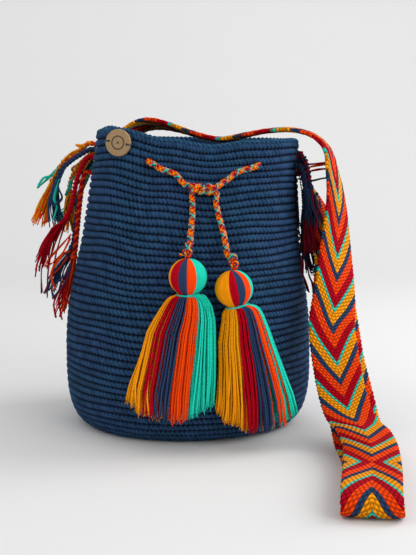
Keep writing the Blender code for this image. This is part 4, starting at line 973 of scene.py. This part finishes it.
def makeStrap():
    line = smoothPath(strapStations(), 2600)
    travelled = np.concatenate([[0], np.cumsum(np.linalg.norm(np.diff(line[:, :3], axis=0), axis=1))])
    total = travelled[-1]
    forward = unit(np.gradient(line[:, :3], axis=0))
    width = line[:, 3:]
    width = unit(width - forward * np.sum(width * forward, axis=1, keepdims=True))
    face = np.cross(forward, width)

    def at(lengths, values):
        return np.stack([np.interp(lengths, travelled, values[:, axis]) for axis in range(3)], axis=-1)

    middle = strap["middle"]
    cordPitch = strap["pitch"] / strap["cords"]
    step = cordPitch / strap["ringsPerCord"]
    depth = strap["depth"]
    # pattern distance from the middle against real place; on the way over the mouth the chevrons are uneven
    last, count = strap["uneven"][-1]
    keys = [(middle - distance, -number * strap["pitch"]) for distance, number in strap["uneven"]][::-1]
    start = -(count * strap["pitch"] + middle - last)
    keys = [(0.0, start)] + keys + [(middle, 0.0), (total, total - middle)]
    place, pattern = np.array(keys).T
    # each ring: its pattern place at mid width, and how far its edges lie further along
    # they fan out at the middle
    rings = [(0.0, turn) for turn in np.linspace(-1, 1, 2 * strap["fan"] + 1)]
    for way, reach in ((-1, -pattern[0]), (1, pattern[-1])):
        part = [(way * step * index, way * min(1.0, (reach - step * index) / depth))
                for index in range(1, int(reach / step) + 1)]
        part.append((way * reach, 0.0))
        rings = part[::-1] + rings if way < 0 else rings + part
    rings = np.array(rings)
    columns = np.linspace(1, -1, strap["columns"])
    edge = np.abs(columns)
    shifted = np.clip(rings[:, :1] + rings[:, 1:] * depth * edge[None], pattern[0], pattern[-1])
    length = np.interp(shifted, pattern, place)
    away = (np.abs(shifted) - depth * edge[None]) / cordPitch
    ridge = strap["ridge"] * (np.abs(np.sin(math.pi * away)) ** 0.7 - 0.6)
    plyPlace = columns[None] * strap["width"] / 2 / strap["plyWidth"]
    ply = np.sin(2 * math.pi * (plyPlace + away * 0.5 * np.sign(columns)[None]))
    ridge = ridge + strap["plyRelief"] * ply * np.abs(np.sin(math.pi * away))
    centre = at(length, line[:, :3])
    across = at(length, width)
    facing = at(length, face)
    half = strap["width"] / 2 * (1 + 0.012 * np.sin(length / 0.017)) + 1.3 * ridge
    outer = centre + across * (columns[None] * half)[..., None]
    slim = (1 - 0.5 * edge ** 8)[None]
    cup = 0.0006 * np.sin(length / 0.031) * columns[None] + 0.0004 * np.sin(length / 0.0127 + 2)
    thick = strap["thickness"] / 2 * slim + ridge * (1 - edge ** 10)[None]
    points = np.concatenate([outer + facing * (thick + cup)[..., None],
                             (outer - facing * (thick - cup)[..., None])[:, ::-1]], axis=1)
    points[..., 2] = np.maximum(points[..., 2], 0.0002)
    rows, loop = points.shape[:2]
    quads = gridFaces(rows, loop, True)
    around = np.concatenate([away, away[:, ::-1]], axis=1)
    beside = np.roll(around, -1, 1)
    number = np.floor((around[:-1] + around[1:] + beside[:-1] + beside[1:]) / 4)
    palette = np.array([colours[name] for name in strap["order"]])
    shade = palette[number.astype(int) % len(palette)].reshape(-1, 3)
    sideways = np.concatenate([columns, columns[::-1]]) * strap["width"] / 2
    corners = []
    for down, right in ((0, 0), (0, 1), (1, 1), (1, 0)):
        u = np.roll(np.broadcast_to(sideways, around.shape), -right, axis=1)[down:rows - 1 + down]
        v = np.roll(around, -right, axis=1)[down:rows - 1 + down]
        corners.append(np.stack([u / strap["plyWidth"], v], axis=-1))
    uvs = np.stack(corners, axis=2).reshape(-1, 4, 2)
    caps = [list(range(loop))[::-1], [(rows - 1) * loop + index for index in range(loop)]]
    return meshFrom("woven_strap", points, quads, caps, quadColours=shade, quadUvs=uvs), total


wovenStrap, strapLength = makeStrap()
dress(wovenStrap, finishes["strap"], "bag", "shoulder_strap")
print("strap woven", round(strapLength, 3), len(wovenStrap.data.polygons))


# tassels: hanks of yarn folded over the knot, tied at the neck

def tasselCentre(head, drop, halfWidth, halfDepth, shift):
    x, z = head
    wallHeight = max(z - drop, bag["bellyHeight"])
    nearest = tasselPivot(head)[1]
    for place in (-0.9, -0.45, 0.0, 0.45, 0.9):
        depth = halfDepth * math.sqrt(1 - place * place) + tassels["clear"]
        nearest = min(nearest, frontWall(x + shift + place * halfWidth, wallHeight, depth)[1])
    return np.array([x + shift, nearest, z - drop])


def skirtStations(spec):
    neck = tassels["neckRadius"]
    _, wide, shift = spec["skirt"][0]
    rows = [(tassels["neckDrop"], neck, neck, 0.0)]
    for drop, part in ((0.0011, 0.32), (0.0028, 0.72)):
        rows.append((tassels["neckDrop"] + drop, neck + (wide - neck) * part,
                     neck + (tassels["halfDepth"] - neck) * part, shift * part))
    for share, halfWidth, shift in spec["skirt"]:
        rows.append((share * tassels["length"], halfWidth, tassels["halfDepth"], shift))
    found = []
    for drop, halfWidth, halfDepth, shift in rows:
        centre = tasselCentre(spec["head"], drop, halfWidth, halfDepth, shift)
        found.append([drop, halfWidth, halfDepth, *centre])
    return np.array(found)


def borderAngles(borders, share):
    return [-180.0] + [start + (end - start) * share for start, end in borders] + [180.0]


def makeHank(side, number, stations, spec):
    name = tassels["colours"][number]
    shade = np.array(colours[name])
    radius = tassels["strand"]
    levels = np.concatenate([[0.0, 0.0096, 0.0245, 0.05], np.linspace(0.1, 1.0, 10)])
    drops = tassels["neckDrop"] + (tassels["length"] - tassels["neckDrop"]) * levels
    values = np.stack([np.interp(drops, stations[:, 0], column) for column in stations.T[1:]], axis=1)
    groups = []
    hem = borderAngles(spec["borders"], 1.0)
    neck = borderAngles(spec["borders"], 0.0)
    for layer in (0.97, 0.80, 0.62, 0.42, 0.2):
        around = math.pi * (stations[-1, 1] + stations[-1, 2]) * layer / (2.05 * radius)
        count = max(2, int(around * (hem[number + 1] - hem[number]) / 360))
        for index in range(count):
            part = (index + 0.5 + dice.uniform(-0.3, 0.3)) / count
            startTurn = math.radians(neck[number] + (neck[number + 1] - neck[number]) * part)
            endTurn = math.radians(hem[number] + (hem[number + 1] - hem[number]) * part)
            turn = startTurn + (endTurn - startTurn) * levels
            reach = layer * dice.uniform(0.95, 1.03)
            sway = dice.uniform(-0.0016, 0.0016, 2) * (4 if dice.random() < 0.08 else 1)
            wave = dice.uniform(0, 6.3)
            bend = np.sin(levels * math.pi * dice.uniform(0.8, 1.8) + wave) * 0.0007 * levels
            cut = 1 + dice.uniform(-0.035, 0.012)
            x = values[:, 2] + reach * values[:, 0] * np.sin(turn) + sway[0] * levels ** 2 + bend
            y = values[:, 3] - reach * values[:, 1] * np.cos(turn) + sway[1] * levels ** 2
            sideSquared = (reach * np.sin(turn)) ** 2
            z = values[:, 4] + tassels["endRise"] * sideSquared * levels ** 3
            z = z[0] + (z - z[0]) * cut
            strand = np.stack([x, y, z], axis=1)
            below = np.clip(1 - (stations[0, 5] - strand[:, 2]) / 0.03, 0, 1)
            groups.append((tilted(strand, side, below)[None], (radius * (0.72 + 0.38 * levels))[None], 5,
                           np.minimum(shade * dice.uniform(0.92, 1.25), 1), None))
    tip = radius * 0.45
    for strand, _, _, tone, _ in list(groups):
        for _ in range(2):
            end = strand[0, -1]
            away = dice.uniform(-0.0011, 0.0011, 3)
            fray = np.array([strand[0, -2] * 0.25 + end * 0.75, end, end + away * 0.7 - [0, 0, 0.0012],
                             end + away * 1.6 - [0, 0, 0.0030]])
            groups.append((fray[None], tip, 3, tone, None))
    return tubesObject(f"yarn_{name}_{side}", groups)


def headCentre(spec):
    below = tassels["headRadius"] + tassels["gap"] + tassels["knotRadius"]
    return tasselPivot(spec["head"]) - np.array([0, 0, below])


def tilted(points, side, weight):
    turn = math.radians(tassels["tilt"][side]) * weight
    centre = headCentre(tassels[side])
    moved = points - centre
    x = moved[..., 0] * np.cos(turn) - moved[..., 2] * np.sin(turn)
    z = moved[..., 2] * np.cos(turn) + moved[..., 0] * np.sin(turn)
    return np.stack([x, moved[..., 1], z], axis=-1) + centre


def makeBall(side, number, stations, spec):
    name = tassels["colours"][number]
    neck = borderAngles(spec["borders"], 0.0)
    centre = headCentre(spec)
    thread = tassels["thread"]
    ball = tassels["headRadius"] - thread
    climb = np.radians(np.linspace(-86, 58, 18))
    span = neck[number + 1] - neck[number]
    count = max(4, round(span / 360 * 2 * math.pi * ball / (1.62 * thread)))
    groups = []
    for index in range(count):
        turn = math.radians(neck[number] + span * (index + 0.5) / count + dice.uniform(-0.5, 0.5))
        ring = ball * np.cos(climb) * (1 + dice.uniform(-0.008, 0.012))
        strand = np.stack([centre[0] + ring * np.sin(turn), centre[1] - ring * np.cos(turn),
                           centre[2] - ball * np.sin(climb)], axis=1)
        end = np.array([stations[0, 3] + tassels["neckRadius"] * 0.92 * math.sin(turn),
                        stations[0, 4] - tassels["neckRadius"] * 0.92 * math.cos(turn), stations[0, 5]])
        strand = np.concatenate([strand, [(strand[-1] + end) / 2, end]])
        thick = thread * np.concatenate([0.4 + 0.65 * np.cos(climb) ** 0.7, [0.8, 0.7]])
        groups.append((tilted(strand, side, 1.0)[None], thick[None], 6,
                       np.array(colours[name]) * dice.uniform(0.86, 1.08), None))
    return tubesObject(f"ball_{name}_{side}", groups)


def makeNeck(side, stations, spec):
    centre = stations[0, 3:]
    share = np.linspace(0, 1, 100)
    turn = 2 * math.pi * tassels["tieTurns"] * share
    radius = tassels["neckRadius"] + 0.0011
    helix = np.stack([centre[0] + radius * np.sin(turn), centre[1] - radius * np.cos(turn),
                      centre[2] + 0.0008 - 0.0016 * share], axis=1)
    groups = [(tilted(helix, side, 1.0)[None], tassels["tieYarn"], 6, colours["turquoise"], None)]
    loose = (((0.0125, -0.003), (0.0165, -0.010), (0.0185, -0.019)),
             ((0.0150, 0.001), (0.0190, -0.006), (0.0195, -0.013)))
    for thread in loose if side == "left" else ():
        route = [centre + np.array([0.004, -radius, 0.0])]
        route += [centre + np.array([x, -radius - 0.001, z]) for x, z in thread]
        groups.append((smoothPath(route, 14)[None], tassels["looseYarn"], 5, colours["turquoise"], None))
    return tubesObject(f"neck_wrap_{side}", groups)


def makeCore(side, spec):
    bpy.ops.object.select_all(action="DESELECT")
    bpy.ops.mesh.primitive_uv_sphere_add(segments=40, ring_count=20, radius=tassels["headRadius"] - 0.0010,
                                         location=headCentre(spec))
    core = bpy.context.object
    core.name = f"tassel_core_{side}"
    bpy.ops.object.transform_apply(location=True, rotation=True, scale=True)
    bpy.ops.object.shade_smooth()
    # the core's dark red is painted shade, seen in the gaps between the wrapped strands of the head
    layer = core.data.color_attributes.new("yarn", "FLOAT_COLOR", "POINT")
    layer.data.foreach_set("color", (0.16, 0.02, 0.02, 1) * len(core.data.vertices))
    core.data.uv_layers[0].name = "weave"
    return core


for side in ("left", "right"):
    spec = tassels[side]
    stations = skirtStations(spec)
    body = f"tassel_{side}"
    for number, name in enumerate(tassels["colours"]):
        dress(makeHank(side, number, stations, spec), finishes["tassel"], body, f"tassel_{name}_{side}")
        dress(makeBall(side, number, stations, spec), finishes["ball"], body, f"tassel_{name}_{side}")
    dress(makeNeck(side, stations, spec), finishes["tassel"], body, f"neck_tie_{side}")
    dress(makeCore(side, spec), finishes["ball"], body)
print("tassels tied")


# wooden tag on the front left under the rim, sewn on with two navy threads

tag = {
    "diameter": 0.026, "thickness": 0.003, "hole": 0.0022, "spacing": 0.0188,
    "x": -0.0635, "belowRim": 0.0115, "yaw": -20, "roll": 10, "seat": 0.0004,
    "thread": 0.0011, "burntRing": 0.0062, "edge": 0.0006,
}


def tagFrame():
    share = 1 - tag["belowRim"] / bag["height"]
    angle = angleAt(tag["x"], share)
    point = wallPoints(angle, 1 - tag["belowRim"] / float(rimHeight(angle)))
    yaw = math.radians(tag["yaw"])
    roll = math.radians(tag["roll"])
    outward = np.array([math.sin(yaw), -math.cos(yaw), 0.0])
    level = np.array([math.cos(yaw), math.sin(yaw), 0.0])
    up = np.array([0.0, 0.0, 1.0])
    lowest = 0.0
    for degrees in range(0, 360, 15):
        turn = math.radians(degrees)
        edge = point + (level * math.cos(turn) + up * math.sin(turn)) * tag["diameter"] / 2
        behind = frontWall(edge[0], min(edge[2], bag["height"]), 0.0)
        lowest = max(lowest, float(np.dot(behind - edge, outward)))
    return point + outward * (lowest + tag["seat"]), outward, level * math.cos(roll) - up * math.sin(roll)


def fading(finish, value, full, gone):
    return finish.node("ShaderNodeMapRange", {"interpolation_type": "SMOOTHSTEP"}, Value=value,
                       slot1=full, slot2=gone, slot3=1.0, slot4=0.0)


def woodFinish():
    finish = Finish("turnedWood")
    flat = finish.node("ShaderNodeUVMap", {"uv_map": "face"})
    acrossGrain = finish.node("ShaderNodeSeparateXYZ", Vector=flat)
    alongGrain = finish.node("ShaderNodeSeparateXYZ", outlet=1, Vector=flat)
    stretched = finish.node("ShaderNodeMapping", Vector=flat, Scale=(260.0, 1900.0, 1.0))
    grain = finish.node("ShaderNodeTexNoise", Vector=stretched, Scale=1.0, Detail=4.0, Distortion=0.6)
    pores = finish.node("ShaderNodeTexNoise", Vector=stretched, Scale=3.1, Detail=2.0)
    stops = ((0.30, (0.22, 0.125, 0.050)), (0.72, (0.42, 0.27, 0.13)))
    tone = finish.node("ShaderNodeValToRGB", {"stops": stops}, Fac=grain * 0.75 + pores * 0.25)
    distance = (acrossGrain * acrossGrain + alongGrain * alongGrain) ** 0.5
    ring = fading(finish, (distance - tag["burntRing"]).join(0.0, "ABSOLUTE"), 0.00045, 0.0010)
    dot = fading(finish, distance, 0.0010, 0.0014)
    burnt = ring.join(dot, "MAXIMUM")
    colour = finish.node("ShaderNodeMix", {"data_type": "RGBA"}, outlet=2, slot0=burnt * 0.92, slot6=tone,
                         slot7=(0.035, 0.018, 0.009, 1))
    finish.feed("Base Color", colour)
    relief = grain * 0.5 - burnt * 0.8
    finish.feed("Normal", finish.node("ShaderNodeBump", Strength=0.35, Distance=0.0003, Height=relief))
    finish.feed("Roughness", grain * 0.2 + 0.45)
    return finish.material


def makeTag():
    back, outward, across = tagFrame()
    facing = Vector(outward).to_track_quat("Z", "Y")
    bpy.ops.object.select_all(action="DESELECT")
    bpy.ops.mesh.primitive_cylinder_add(vertices=96, radius=tag["diameter"] / 2, depth=tag["thickness"])
    disc = bpy.context.object
    disc.name = "wooden_disc"
    softened = disc.modifiers.new("edge", "BEVEL")
    softened.width = tag["edge"]
    softened.segments = 3
    softened.limit_method = "ANGLE"
    bpy.ops.object.modifier_apply(modifier="edge")
    local = facing.inverted() @ Vector(across)
    for way in (-1, 1):
        bpy.ops.mesh.primitive_cylinder_add(vertices=32, radius=tag["hole"] / 2, depth=0.02,
                                            location=local * way * tag["spacing"] / 2)
        drill = bpy.context.object
        hole = disc.modifiers.new("hole", "BOOLEAN")
        hole.operation = "DIFFERENCE"
        hole.object = drill
        bpy.context.view_layer.objects.active = disc
        bpy.ops.object.modifier_apply(modifier="hole")
        bpy.data.objects.remove(drill)
    for layer in list(disc.data.uv_layers):
        disc.data.uv_layers.remove(layer)
    face = disc.data.uv_layers.new(name="face")
    for loop in disc.data.loops:
        place = disc.data.vertices[loop.vertex_index].co
        face.data[loop.index].uv = (place.x, place.y)
    disc.rotation_euler = facing.to_euler()
    disc.location = Vector(back + outward * tag["thickness"] / 2)
    bpy.ops.object.select_all(action="DESELECT")
    disc.select_set(True)
    bpy.context.view_layer.objects.active = disc
    bpy.ops.object.transform_apply(location=True, rotation=True, scale=True)
    bpy.ops.object.shade_smooth_by_angle(angle=math.radians(35))
    return disc


def makeThread(name, way):
    back, outward, across = tagFrame()
    thread = tag["thread"]
    over = tag["thickness"] + thread / 2
    hole = across * way * tag["spacing"] / 2
    beyond = across * way * (tag["diameter"] / 2 + thread / 2 + 0.0002)
    halfWay = (hole + beyond) / 2
    route = [back + hole, back + hole + outward * tag["thickness"] * 0.8, back + hole + (beyond - hole) * 0.15
             + outward * (over + 0.0003), back + halfWay + outward * (over + 0.0002),
             back + beyond + outward * (over - 0.0006), back + beyond + outward * tag["thickness"] / 2,
             back + beyond * 0.99 - outward * 0.004]
    path = smoothPath(route, 40)
    strands, radial = laidStrands(path, 2, 0.00028, 0.0022)
    return tubesObject(name, [(strand[None], 0.00032, 6, colours["navy"], side[None])
                              for strand, side in zip(strands, radial)])


disc = makeTag()
dress(disc, woodFinish(), "bag", "wooden_tag")
dress(makeThread("tag_thread_left", -1), finishes["cord"], "bag", "tag_stitch_left")
dress(makeThread("tag_thread_right", 1), finishes["cord"], "bag", "tag_stitch_right")
print("tag sewn on")


# pale floor running up into a backdrop, soft light

studio = {"floor": 0.760, "backdrop": 0.790, "world": 0.87, "key": 8.0, "fill": 9.0, "rim": 6.0}


def makeFloor():
    profile = [(-3.0, 0.0), (1.2, 0.0)]
    for step in range(1, 9):
        turn = math.radians(90 * step / 8)
        profile.append((1.2 + 0.8 * math.sin(turn), 0.8 - 0.8 * math.cos(turn)))
    profile.append((2.0, 4.0))
    points = np.array([[[x, y, z] for x in (-4.0, 4.0)] for y, z in profile])
    return meshFrom("studio_floor", points, gridFaces(len(profile), 2, False)[:, ::-1])


floor = makeFloor()
floorFinish = Finish("paleFloor")
place = floorFinish.node("ShaderNodeTexCoord", outlet=3)
height = floorFinish.node("ShaderNodeSeparateXYZ", outlet=2, Vector=place)
floorFinish.feed("Base Color", floorFinish.node("ShaderNodeMapRange", Value=height, slot1=0.0, slot2=0.6,
                                                slot3=studio["floor"], slot4=studio["backdrop"]))
floorFinish.fixed(Roughness=0.9, Specular_IOR_Level=0.1)
floor.data.materials.append(floorFinish.material)


def areaLight(name, place, target, size, energy):
    way = Vector(target) - Vector(place)
    bpy.ops.object.light_add(type="AREA", location=place, rotation=way.to_track_quat("-Z", "Y").to_euler())
    lamp = bpy.context.object
    lamp.name = name
    lamp.data.size = size
    lamp.data.energy = energy


areaLight("keyLight", (1.25, 0.20, 1.20), (0, 0, 0.12), 0.9, studio["key"])
areaLight("rimLight", (1.5, 0.45, 0.55), (0.05, 0, 0.12), 0.7, studio["rim"])
areaLight("fillLight", (1.20, -1.5, 1.1), (0, 0, 0.12), 1.2, studio["fill"])
world = bpy.data.worlds.new("studio")
bpy.context.scene.world = world
world.use_nodes = True
world.node_tree.nodes["Background"].inputs[0].default_value = (1, 1, 1, 1)
world.node_tree.nodes["Background"].inputs[1].default_value = studio["world"]
bpy.context.scene.view_settings.view_transform = "Standard"
print("stage set")
